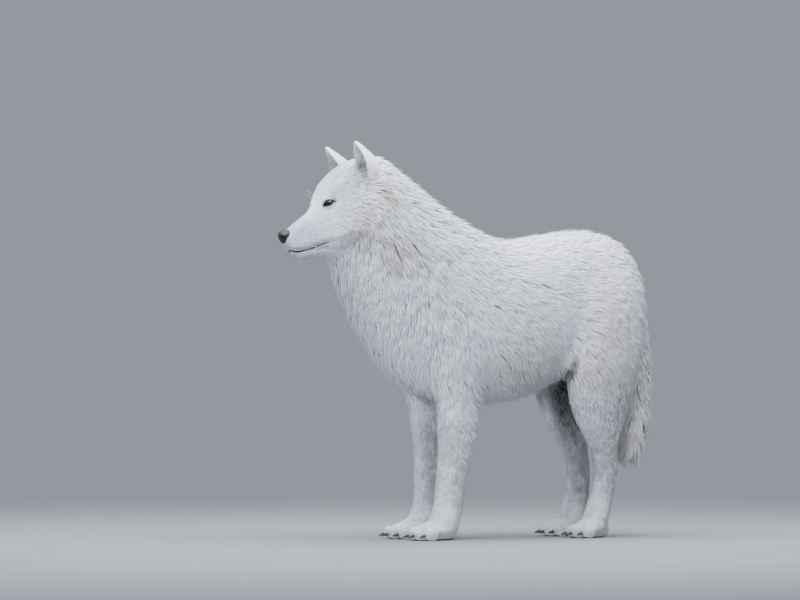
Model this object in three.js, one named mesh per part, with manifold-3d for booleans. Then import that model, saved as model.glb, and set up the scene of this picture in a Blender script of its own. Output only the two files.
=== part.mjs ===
// An arctic wolf in its winter coat, standing square on four feet and looking straight ahead.
// Millimetres, +Z up. The nose points to -X, the left side to -Y, and the feet stand on Z = 0.
// Every solid reaches out to the tips of the coat.
import * as THREE from "three";
import { mergeVertices } from "three/addons/utils/BufferGeometryUtils.js";
import Module from "manifold-3d";

const wasm = await Module();
wasm.setup();

// ---- dimensions ---------------------------------------------------------------------------

const CUT = 0.3; // the gap between two sub-parts that meet
const SIDES = { left: -1, right: 1 }; // the sign of Y on each side

// The trunk and neck from the rump to the nape: the point on the back, the point on the belly, chest or
// throat, and the half width. The belly half is a little the fuller one.
const BODY = [
  { back: [362, 606], belly: [358, 540], wide: 40 },
  { back: [350, 668], belly: [340, 455], wide: 92 },
  { back: [316, 724], belly: [300, 425], wide: 116 },
  { back: [262, 750], belly: [245, 412], wide: 124 },
  { back: [200, 757], belly: [185, 402], wide: 122 },
  { back: [130, 751], belly: [118, 374], wide: 126 },
  { back: [60, 740], belly: [55, 344], wide: 136 },
  { back: [0, 730], belly: [-10, 327], wide: 146 },
  { back: [-60, 745], belly: [-80, 324], wide: 150 },
  { back: [-115, 773], belly: [-160, 326], wide: 150 },
  { back: [-165, 803], belly: [-235, 342], wide: 148 },
  { back: [-210, 835], belly: [-300, 384], wide: 142 },
  { back: [-250, 865], belly: [-352, 440], wide: 136 },
  { back: [-290, 895], belly: [-400, 510], wide: 130 },
  { back: [-330, 924], belly: [-438, 590], wide: 125 },
  { back: [-365, 938], belly: [-465, 650], wide: 113 },
  { back: [-392, 928], belly: [-474, 690], wide: 74 },
];
const BODY_SHAPE = { square: 2.2, full: -0.06 };

// The planes that part the head, the neck and the trunk, each through two points of the side view.
const NECK_BASE = { top: [-100, 776], bottom: [-330, 420] };
const HEAD_BASE = { top: [-368, 944], bottom: [-478, 676] };

// The head leans over to the right by a few degrees, about a line along the neck at this height.
const LEAN = { degrees: 4, height: 790 };

// Outlines of the head from the muzzle to the nape: the X, then the crown or bridge, the brow, the orbit, the
// cheek, the lip and the underside, each as [distance from the middle plane, height].
const HEAD = [
  [-607, [0, 742], [8, 740], [13, 735], [14, 729], [9, 724], [0, 722]],
  [-600, [0, 749], [12, 746], [19, 738], [22, 724], [18, 713], [0, 711]],
  [-590, [0, 757], [14, 752], [22, 741], [27, 723], [25, 704], [0, 703]],
  [-572, [0, 771], [15, 766], [25, 750], [31, 728], [31, 704], [0, 702]],
  [-550, [0, 786], [17, 781], [28, 764], [36, 738], [36, 708], [0, 705]],
  [-533, [0, 798], [20, 793], [31, 781], [43, 749], [43, 713], [0, 704]],
  [-522, [0, 811], [23, 809], [34, 797], [49, 758], [50, 717], [0, 700]],
  [-513, [0, 830], [30, 827], [38, 808], [54, 768], [56, 718], [0, 696]],
  [-503, [0, 852], [39, 843], [44, 814], [60, 776], [62, 718], [0, 692]],
  [-490, [0, 873], [48, 858], [55, 819], [68, 782], [71, 718], [0, 684]],
  [-471, [0, 893], [55, 875], [66, 826], [79, 786], [84, 724], [0, 675]],
  [-446, [0, 912], [59, 892], [76, 838], [90, 788], [97, 730], [0, 667]],
  [-416, [0, 926], [61, 902], [82, 848], [98, 788], [104, 736], [0, 662]],
  [-383, [0, 930], [60, 905], [83, 850], [99, 786], [101, 740], [0, 660]],
  [-350, [0, 927], [56, 902], [77, 846], [90, 784], [90, 742], [0, 665]],
];

// The lower jaw from the chin back: the point in the mouth, the point under the jaw and the half width.
const JAW = [
  { mouth: [-590, 702], under: [-584, 691], wide: 12 },
  { mouth: [-584, 706], under: [-574, 684], wide: 19 },
  { mouth: [-564, 709], under: [-558, 680], wide: 25 },
  { mouth: [-535, 714], under: [-530, 682], wide: 33 },
  { mouth: [-505, 722], under: [-500, 683], wide: 42 },
  { mouth: [-480, 726], under: [-473, 672], wide: 49 },
  { mouth: [-445, 726], under: [-438, 668], wide: 48 },
];

// The bare leather of the nose, and one of its nostrils, which open forwards and outwards.
const NOSE = { half: [18, 18, 15], at: [-603, 0, 737], turn: [0, -12, 0], detail: [12, 8] };
const NOSTRIL = { half: [8, 4, 5], at: [-617, 9, 736], turn: [0, 0, -25], detail: [8, 6] };

// An eye with its dark rims, longer than high, its rear corner the higher one.
const EYE = { half: [17, 12, 11], at: [-500, 40, 812], turn: [0, -17, 37], detail: [12, 8] };

// An ear is an upright shell, open to the front and a little to the side: the middle, the half width and the
// half depth of the shell from its root up to its tip.
const EAR = { faces: 4, wall: 5 };
const EAR_SECTIONS = [
  { at: [-398, 52, 846], wide: 28, deep: 31 },
  { at: [-403, 60, 875], wide: 36, deep: 34 },
  { at: [-409, 66, 899], wide: 36, deep: 32 },
  { at: [-418, 71, 922], wide: 32, deep: 26 },
  { at: [-430, 75, 941], wide: 24, deep: 17 },
  { at: [-439, 78, 954], wide: 14, deep: 8 },
  { at: [-442, 79, 961], wide: 4, deep: 3 },
];

// The legs from inside the trunk down to the foot: height, distance from the middle plane, the front, the
// rear and the half width.
const FORELEG = [
  { z: 640, y: 64, front: -215, rear: -105, wide: 26 },
  { z: 560, y: 82, front: -262, rear: -76, wide: 50 },
  { z: 470, y: 89, front: -275, rear: -74, wide: 56 },
  { z: 400, y: 84, front: -252, rear: -88, wide: 53 },
  { z: 330, y: 76, front: -231, rear: -105, wide: 46 },
  { z: 265, y: 70, front: -221, rear: -113, wide: 40 },
  { z: 216, y: 64, front: -218, rear: -124, wide: 34 },
  { z: 142, y: 57, front: -220, rear: -140, wide: 31 },
  { z: 93, y: 54, front: -222, rear: -144, wide: 31 },
  { z: 56, y: 55, front: -234, rear: -152, wide: 36 },
  { z: 22, y: 56, front: -248, rear: -164, wide: 38 },
];
const HINDLEG = [
  { z: 690, y: 58, front: 190, rear: 290, wide: 36 },
  { z: 630, y: 76, front: 155, rear: 336, wide: 54 },
  { z: 560, y: 84, front: 135, rear: 350, wide: 62 },
  { z: 480, y: 86, front: 120, rear: 347, wide: 62 },
  { z: 410, y: 87, front: 118, rear: 330, wide: 59 },
  { z: 340, y: 85, front: 132, rear: 306, wide: 51 },
  { z: 275, y: 80, front: 160, rear: 284, wide: 43 },
  { z: 215, y: 74, front: 198, rear: 270, wide: 33 },
  { z: 165, y: 70, front: 211, rear: 274, wide: 29 },
  { z: 112, y: 64, front: 206, rear: 268, wide: 28 },
  { z: 62, y: 60, front: 190, rear: 258, wide: 34 },
  { z: 22, y: 59, front: 178, rear: 248, wide: 37 },
];

// A foot: where its toes end, its middle, its length, its half width and how far it turns out in degrees.
const FOREFOOT = { tip: -299, y: 56, length: 132, wide: 43, turn: 5 };
const HINDFOOT = { tip: 134, y: 60, length: 116, wide: 39, turn: 5 };

// The toes from the inner to the outer one: how far behind the tip of the foot, and how far to the side as a
// share of its half width.
const TOES = [
  { back: 17, aside: -0.72, turn: -10 },
  { back: 0, aside: -0.26, turn: -3 },
  { back: 0, aside: 0.26, turn: 3 },
  { back: 17, aside: 0.72, turn: 10 },
];
const TOE = { half: [28, 12.5, 18], height: 16, detail: [6, 5] };
const CLAW = { length: 17, thick: 4, height: 12 };

// The two kinds of leg, with the heights at which the leg leaves the trunk and the foot leaves the leg.
const FORE = { leg: "foreleg", paw: "forefoot", sections: FORELEG, top: 322, ankle: 84, foot: FOREFOOT };
const HIND = { leg: "hindleg", paw: "hindfoot", sections: HINDLEG, top: 364, ankle: 100, foot: HINDFOOT };
const FLANK = 105; // ahead of this X the belly hangs below the tops of the hind legs

// The tail hangs straight down: height, middle, half depth and half width from its root to its tip.
const TAIL = [
  { z: 668, x: 322, deep: 24, wide: 26 },
  { z: 632, x: 338, deep: 33, wide: 36 },
  { z: 580, x: 350, deep: 37, wide: 41 },
  { z: 522, x: 356, deep: 40, wide: 44 },
  { z: 455, x: 358, deep: 43, wide: 48 },
  { z: 387, x: 358, deep: 46, wide: 52 },
  { z: 314, x: 354, deep: 47, wide: 54 },
  { z: 255, x: 350, deep: 44, wide: 51 },
  { z: 212, x: 344, deep: 35, wide: 40 },
  { z: 182, x: 340, deep: 18, wide: 22 },
  { z: 172, x: 338, deep: 5, wide: 7 },
];

const COAT = { color: 0xe6e4e2, roughness: 0.9 };
const LEATHER = { color: 0x1b1a1d, roughness: 0.45 };
const IRIS = { color: 0x3a2a1c, roughness: 0.1 };
const HORN = { color: 0x2b2725, roughness: 0.5 };

// ---- shapes -------------------------------------------------------------------------------

// A closed geometry as a solid, with its faces pointing out whichever way it was wound.
function solid(geometry, pose) {
  const bare = geometry.clone();
  if (pose) bare.applyMatrix4(pose);
  bare.deleteAttribute("normal");
  bare.deleteAttribute("uv");
  const merged = mergeVertices(bare, 1e-3);
  const triVerts = new Uint32Array(merged.index.array);
  const vertProperties = merged.attributes.position.array;
  const made = new wasm.Manifold(new wasm.Mesh({ numProp: 3, vertProperties, triVerts }));
  if (made.volume() > 0) return made;
  triVerts.reverse();
  return new wasm.Manifold(new wasm.Mesh({ numProp: 3, vertProperties, triVerts }));
}

function curveThrough(points, closed = false) {
  return new THREE.CatmullRomCurve3(points, closed, "catmullrom", 0.5);
}

// A number that runs smoothly through these values as u goes from 0 to 1.
function smooth(values) {
  const curve = curveThrough(values.map((v) => new THREE.Vector3(v, 0, 0)));
  return (u) => curve.getPoint(u).x;
}

// A closed skin over rings of points, with a fan at each end.
function skinned(points, rings, sides, pose) {
  const ring = (i, k) => i * sides + (k % sides);
  const triangles = [];
  for (let i = 0; i < rings; i++)
    for (let k = 0; k < sides; k++) {
      triangles.push(ring(i, k), ring(i, k + 1), ring(i + 1, k + 1));
      triangles.push(ring(i, k), ring(i + 1, k + 1), ring(i + 1, k));
    }
  for (const i of [0, rings]) {
    const middle = points.length;
    const sum = new THREE.Vector3();
    for (let k = 0; k < sides; k++) sum.add(points[ring(i, k)]);
    points.push(sum.divideScalar(sides));
    for (let k = 0; k < sides; k++) {
      const edge = [ring(i, k), ring(i, k + 1)];
      if (i === 0) edge.reverse();
      triangles.push(middle, ...edge);
    }
  }
  const geometry = new THREE.BufferGeometry().setFromPoints(points);
  geometry.setIndex(triangles);
  return solid(geometry, pose);
}

// A closed body through a list of sections. A section reaches from the outline point `near` to the outline
// point `far`, and `wide` to each side of them along `across`. `square` above 2 makes it boxier, and `full`
// below 0 makes its far half the wider one.
function loft(sections, { rings, sides, grow = 0, across = [0, 1, 0], square = 2, full = 0, pose }) {
  const near = curveThrough(sections.map((s) => new THREE.Vector3(...s.near)));
  const far = curveThrough(sections.map((s) => new THREE.Vector3(...s.far)));
  const wide = smooth(sections.map((s) => s.wide));
  const side = new THREE.Vector3(...across).normalize();
  const power = (v) => Math.sign(v) * Math.abs(v) ** (2 / square);
  const points = [];
  for (let i = 0; i <= rings; i++) {
    const u = i / rings;
    const [a, b] = [near.getPoint(u), far.getPoint(u)];
    const centre = a.clone().add(b).multiplyScalar(0.5);
    const reach = a.clone().sub(b).multiplyScalar(0.5);
    reach.setLength(reach.length() + grow);
    for (let k = 0; k < sides; k++) {
      const turn = (2 * Math.PI * (k + 0.5)) / sides;
      const high = power(Math.sin(turn));
      const out = power(Math.cos(turn)) * (wide(u) + grow) * (1 + full * high);
      points.push(centre.clone().addScaledVector(reach, high).addScaledVector(side, out));
    }
  }
  return skinned(points, rings, sides, pose);
}

// A closed body through outlines that lie across X. Each is an X and the points of its one side, from the top
// point on the middle plane to the bottom one.
function netLoft(outlines, { rings, sides, grow = 0, pose }) {
  const rows = outlines[0].slice(1).map((_, row) =>
    curveThrough(outlines.map(([x, ...half]) => new THREE.Vector3(x, ...half[row]))));
  const points = [];
  for (let i = 0; i <= rings; i++) {
    const half = rows.map((row) => row.getPoint(i / rings));
    const other = half.slice(1, -1).reverse();
    const outline = curveThrough([...half, ...other.map((p) => new THREE.Vector3(p.x, -p.y, p.z))], true);
    for (let k = 0; k < sides; k++) {
      const u = (k + 0.5) / sides;
      const tangent = outline.getTangent(u);
      const outwards = new THREE.Vector3(0, -tangent.z, tangent.y);
      points.push(outline.getPoint(u).addScaledVector(outwards, grow));
    }
  }
  return skinned(points, rings, sides, pose);
}

// An ellipsoid of three half sizes, turned about X, Y and Z in degrees and put at a point.
function ellipsoid({ half, at, turn = [0, 0, 0], detail, grow = 0, pose }) {
  const geometry = new THREE.SphereGeometry(1, ...detail);
  geometry.rotateX(Math.PI / 2);
  geometry.scale(...half.map((h) => h + grow));
  const radians = turn.map(THREE.MathUtils.degToRad);
  geometry.applyMatrix4(new THREE.Matrix4().makeRotationFromEuler(new THREE.Euler(...radians, "XYZ")));
  geometry.translate(...at);
  return solid(geometry, pose);
}

// Where an ellipsoid given on the side of positive Y lies on the side of this sign.
const onSide = ({ at, turn, ...rest }, sign) => ({
  ...rest,
  at: [at[0], sign * at[1], at[2]],
  turn: [sign * turn[0], turn[1], sign * turn[2]],
});

// Everything on the side of a plane that `towards` points to, but for half a cut beyond the plane.
const HUGE = 3000;
function beyond(through, towards) {
  const direction = new THREE.Vector3(...towards).normalize();
  const geometry = new THREE.BoxGeometry(HUGE, HUGE, HUGE);
  geometry.translate(0, 0, HUGE / 2 + CUT / 2);
  geometry.applyQuaternion(new THREE.Quaternion().setFromUnitVectors(new THREE.Vector3(0, 0, 1), direction));
  geometry.translate(...through);
  return solid(geometry);
}

const over = (z) => beyond([0, 0, z], [0, 0, 1]);
const below = (z) => beyond([0, 0, z], [0, 0, -1]);
const offTheFloor = over(-CUT / 2);

// The part of space ahead of a plane through two points of the side view, towards the nose, or behind it.
function beside(plane, way) {
  const [dx, dz] = [plane.bottom[0] - plane.top[0], plane.bottom[1] - plane.top[1]];
  return beyond([plane.top[0], 0, plane.top[1]], way === "ahead" ? [dz, 0, -dx] : [-dz, 0, dx]);
}

// ---- head, neck and trunk -----------------------------------------------------------------

const HEAD_POSE = new THREE.Matrix4()
  .makeTranslation(0, 0, LEAN.height)
  .multiply(new THREE.Matrix4().makeRotationX(THREE.MathUtils.degToRad(-LEAN.degrees)))
  .multiply(new THREE.Matrix4().makeTranslation(0, 0, -LEAN.height));

function wholeBody(grow = 0) {
  const sections = BODY.map(({ back, belly, wide }) => ({
    near: [back[0], 0, back[1]],
    far: [belly[0], 0, belly[1]],
    wide,
  }));
  const trunk = loft(sections, { rings: 22, sides: 20, grow, ...BODY_SHAPE });
  return trunk.add(netLoft(HEAD, { rings: 19, sides: 20, grow, pose: HEAD_POSE }));
}

function jaw() {
  const sections = JAW.map(({ mouth, under, wide }) => ({
    near: [mouth[0], 0, mouth[1]],
    far: [under[0], 0, under[1]],
    wide,
  }));
  return loft(sections, { rings: 7, sides: 12, pose: HEAD_POSE });
}

const noseLeather = (grow = 0) => ellipsoid({ ...NOSE, grow, pose: HEAD_POSE });
const nostril = (sign) => ellipsoid({ ...onSide(NOSTRIL, sign), pose: HEAD_POSE });
const eye = (sign, grow = 0) => ellipsoid({ ...onSide(EYE, sign), grow, pose: HEAD_POSE });

// An ear is a blunt cone with a smaller and shorter one cut out of its open side.
function ear(sign) {
  const facing = THREE.MathUtils.degToRad(EAR.faces);
  const opening = new THREE.Vector3(-Math.cos(facing), sign * Math.sin(facing), 0);
  const across = [opening.y, -opening.x, 0];
  const cone = (list, shift, wall) => {
    const sections = list.map(({ at, wide, deep }) => {
      const middle = new THREE.Vector3(at[0], sign * at[1], at[2]).addScaledVector(opening, shift * deep);
      return {
        near: middle.clone().addScaledVector(opening, deep - wall).toArray(),
        far: middle.clone().addScaledVector(opening, wall - deep).toArray(),
        wide: wide - 1.4 * wall,
      };
    });
    return loft(sections, { rings: 7, sides: 10, across, pose: HEAD_POSE });
  };
  return cone(EAR_SECTIONS, 0, 0).subtract(cone(EAR_SECTIONS.slice(0, -1), 0.7, EAR.wall));
}

// ---- legs, feet and tail ------------------------------------------------------------------

function leg(list, sign) {
  const sections = list.map(({ z, y, front, rear, wide }) => ({
    near: [front, sign * y, z],
    far: [rear, sign * y, z],
    wide,
  }));
  return loft(sections, { rings: 17, sides: 12 });
}

// A point of a foot, from its place behind the tip and to the outer side, turned with the foot about its
// heel.
function inFoot(foot, sign, back, out, z) {
  const turn = THREE.MathUtils.degToRad(foot.turn);
  const [dx, dy] = [back - foot.length, out];
  const x = foot.tip + foot.length + dx * Math.cos(turn) + dy * Math.sin(turn);
  const y = foot.y - dx * Math.sin(turn) + dy * Math.cos(turn);
  return [x, sign * y, z];
}

// The foot behind and between the toes. It reaches below the floor, where its sole is cut flat.
function footPad(foot, sign) {
  const section = (back, top, bottom, share) => ({
    near: inFoot(foot, sign, back, 0, top),
    far: inFoot(foot, sign, back, 0, bottom),
    wide: share * foot.wide,
  });
  const sections = [
    section(24, 28, 3, 0.5),
    section(40, 40, -4, 0.88),
    section(foot.length * 0.6, 56, -5, 0.9),
    section(foot.length, 40, 2, 0.5),
  ];
  return loft(sections, { rings: 3, sides: 9 });
}

function toe(foot, sign, { back, aside, turn }) {
  return ellipsoid({
    ...TOE,
    at: inFoot(foot, sign, back + TOE.half[0], aside * foot.wide, TOE.height),
    turn: [0, 8, -sign * (turn + foot.turn)],
  });
}

// A claw leaves the front of its toe and curves down to a point just above the floor.
function claw(foot, sign, { back, aside, turn }, grow = 0) {
  const spread = THREE.MathUtils.degToRad(turn);
  const section = (ahead, drop, share) => {
    const out = aside * foot.wide + Math.sin(spread) * (ahead + TOE.half[0]);
    const height = CLAW.height - drop;
    const thick = share * CLAW.thick;
    return {
      near: inFoot(foot, sign, back - ahead, out, height + thick),
      far: inFoot(foot, sign, back - ahead, out, height - thick),
      wide: 0.7 * thick,
    };
  };
  const sections = [
    section(-0.4 * CLAW.length, 0, 1),
    section(0.2 * CLAW.length, 1, 0.85),
    section(0.6 * CLAW.length, 6, 0.25),
  ];
  return loft(sections, { rings: 3, sides: 5, grow });
}

function tail(grow = 0) {
  const sections = TAIL.map(({ z, x, deep, wide }) => ({
    near: [x + deep, 0, z],
    far: [x - deep, 0, z],
    wide,
  }));
  return loft(sections, { rings: 13, sides: 12, grow });
}

// ---- the model ----------------------------------------------------------------------------

const model = new THREE.Group();

// Adds one solid as a named sub-part. Where the cuts leave crumbs beside it, only the largest piece counts.
function add(name, shape, look) {
  const largest = shape.decompose().reduce((a, b) => (a.volume() > b.volume() ? a : b));
  const { vertProperties, triVerts } = largest.getMesh();
  const geometry = new THREE.BufferGeometry();
  geometry.setAttribute("position", new THREE.BufferAttribute(vertProperties, 3));
  geometry.setIndex(new THREE.BufferAttribute(triVerts, 1));
  geometry.computeVertexNormals();
  const mesh = new THREE.Mesh(geometry, new THREE.MeshStandardMaterial({ ...look, metalness: 0 }));
  mesh.name = name;
  model.add(mesh);
}

// The head, neck and trunk with the legs are one body, which planes then part.
let body = wholeBody();
for (const sign of Object.values(SIDES)) {
  body = body.add(leg(FORE.sections, sign));
  body = body.add(leg(HIND.sections, sign));
}
body = body.subtract(tail(CUT));

const hindlegs = below(HIND.top + CUT).intersect(beyond([FLANK, 0, 0], [1, 0, 0]));
add("trunk", body.intersect(beside(NECK_BASE, "behind")).intersect(over(FORE.top)).subtract(hindlegs), COAT);
add("neck", body.intersect(beside(NECK_BASE, "ahead")).intersect(beside(HEAD_BASE, "behind")), COAT);

let head = body.intersect(beside(HEAD_BASE, "ahead")).subtract(noseLeather(CUT));
let nose = noseLeather();
for (const sign of Object.values(SIDES)) {
  head = head.subtract(eye(sign, CUT));
  nose = nose.subtract(nostril(sign));
}
add("head", head, COAT);
add("nose", nose, LEATHER);
add("lower_jaw", jaw().subtract(wholeBody(CUT)), COAT);

function addLimb(kind, side, sign) {
  const limb = leg(kind.sections, sign).subtract(tail(CUT));
  add(`${kind.leg}_${side}`, limb.intersect(below(kind.top)).intersect(over(kind.ankle)), COAT);
  let paw = limb.add(footPad(kind.foot, sign));
  for (const place of TOES) paw = paw.add(toe(kind.foot, sign, place));
  for (const place of TOES) paw = paw.subtract(claw(kind.foot, sign, place, CUT));
  add(`${kind.paw}_${side}`, paw.intersect(below(kind.ankle)).intersect(offTheFloor), COAT);
  TOES.forEach((place, i) => add(`claw_${kind.paw}_${side}_${i + 1}`, claw(kind.foot, sign, place), HORN));
}

for (const [side, sign] of Object.entries(SIDES)) {
  add(`eye_${side}`, eye(sign), IRIS);
  add(`ear_${side}`, ear(sign).subtract(wholeBody(CUT)), COAT);
  addLimb(FORE, side, sign);
  addLimb(HIND, side, sign);
}
add("tail", tail(), COAT);

// The origin goes under the middle of the whole model, on the floor.
const middle = new THREE.Box3().setFromObject(model).getCenter(new THREE.Vector3());
for (const mesh of model.children) mesh.geometry.translate(-middle.x, -middle.y, 0);

export default model;
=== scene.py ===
"""An arctic wolf in its winter coat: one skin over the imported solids, and a coat of solid tufts that
follows its lie, with the whiskers and the hair of the ears among them. The eyeballs, eyelids, nose, lips and
claws are pieces of their own. Metres, nose to -X, left side to -Y.

Places on the animal are written in millimetres from the same origin as the part's source, on the +Y side, and
put() and head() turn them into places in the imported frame."""
import math
import bpy
import bmesh
import numpy as np
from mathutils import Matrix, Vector
from mathutils.bvhtree import BVHTree
from mathutils.kdtree import KDTree


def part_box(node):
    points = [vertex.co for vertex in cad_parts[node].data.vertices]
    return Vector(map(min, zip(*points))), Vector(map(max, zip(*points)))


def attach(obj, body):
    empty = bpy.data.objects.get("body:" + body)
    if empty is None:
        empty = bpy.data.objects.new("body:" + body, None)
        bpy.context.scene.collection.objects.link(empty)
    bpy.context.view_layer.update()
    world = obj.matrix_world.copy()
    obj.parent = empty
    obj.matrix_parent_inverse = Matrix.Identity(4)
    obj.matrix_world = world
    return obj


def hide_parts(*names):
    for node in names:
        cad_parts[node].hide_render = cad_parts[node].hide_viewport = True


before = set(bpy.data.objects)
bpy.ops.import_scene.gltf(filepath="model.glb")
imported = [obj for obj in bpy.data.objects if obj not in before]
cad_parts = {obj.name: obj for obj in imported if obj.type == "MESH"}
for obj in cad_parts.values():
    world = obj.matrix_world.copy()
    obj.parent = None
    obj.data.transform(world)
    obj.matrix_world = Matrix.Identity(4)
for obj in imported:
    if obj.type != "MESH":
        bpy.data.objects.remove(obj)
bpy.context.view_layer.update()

rng = np.random.default_rng(11)

# ---- sizes --------------------------------------------------------------------------------

MM = 0.001                 # a millimetre in metres
TO_MM = 1000
SIDES = {"left": -1, "right": 1}  # the sign of Y on each side
ORIGIN_X = 109.33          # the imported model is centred: its X is the source's plus this, in millimetres
LEAN = (4.0, 790.0)        # the head leans by this many degrees about a line at this height
LEAN_TURN = (math.cos(math.radians(LEAN[0])), math.sin(math.radians(LEAN[0])))
VOXEL = 0.003              # the skin's grain when it is first cast
SKIN_FACES = 170000
TUFTS = 106000             # about this many tufts in all, before the bare places are cleared
LONG_TUFT = 0.024          # a longer tuft than this has one ring more
PATCH = 0.003              # a tuft's patch on the bake's map
PIECE_FACES = 190000       # a coat piece has fewer triangles than this
FEW = 10                   # so few tufts of one kind in a region are left out
TIMES = np.array([0.0, 0.34, 0.68, 1.0])  # the steps along a tuft, from its root to its tip
OVER_FLOOR = 0.0006        # hair and claws stay this far over the floor
# How far the light on a tuft follows the body, not the tuft.
SOFT = dict(body=0.72, tail=0.65, legs=0.52, face=0.6)
# How many rounds of evening out the surface of the tips gets.
SMOOTHING = dict(torso=60, tail=30, hindleg=22, foreleg=16, head=4, ear=2, forefoot=4, hindfoot=4)

CAMERA = dict(azimuth=-27.0, distance=16.0, width=1.96, target=(-0.1199, 0.1168, 0.5831))
FAR = (0.315, 0.342, 0.395)  # the colour of the background
# Each light's place, size, power and colour, and whether it shows in glossy surfaces.
LIGHTS = {
    "top": ((-0.3, -0.5, 3.7), 4.5, 590, (0.90, 0.945, 1.0), True),
    "key": ((-3.6, -3.2, 1.7), 3.0, 220, (0.88, 0.935, 1.0), False),
    "rear": ((3.0, 2.8, 3.2), 3.0, 40, (0.92, 0.95, 1.0), True),
}

FLESH = ["trunk", "neck", "head", "lower_jaw", "tail"] + [
    f"{part}_{side}"
    for part in ("ear", "foreleg", "forefoot", "hindleg", "hindfoot")
    for side in SIDES
]
GROUPS = {"trunk": "torso", "neck": "torso", "head": "head", "lower_jaw": "head", "tail": "tail"}
REGIONS = {"torso": "body", "tail": "tail", "foreleg": "legs", "hindleg": "legs", "forefoot": "legs",
           "hindfoot": "legs", "head": "face", "ear": "face"}
# The rings that a tuft keeps of the four along its path, and its width at each.
KINDS = {"long": ([0, 1, 2, 3], (0.75, 1.05, 0.75, 0)), "short": ([0, 1, 3], (0.6, 1.0, 0))}

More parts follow.
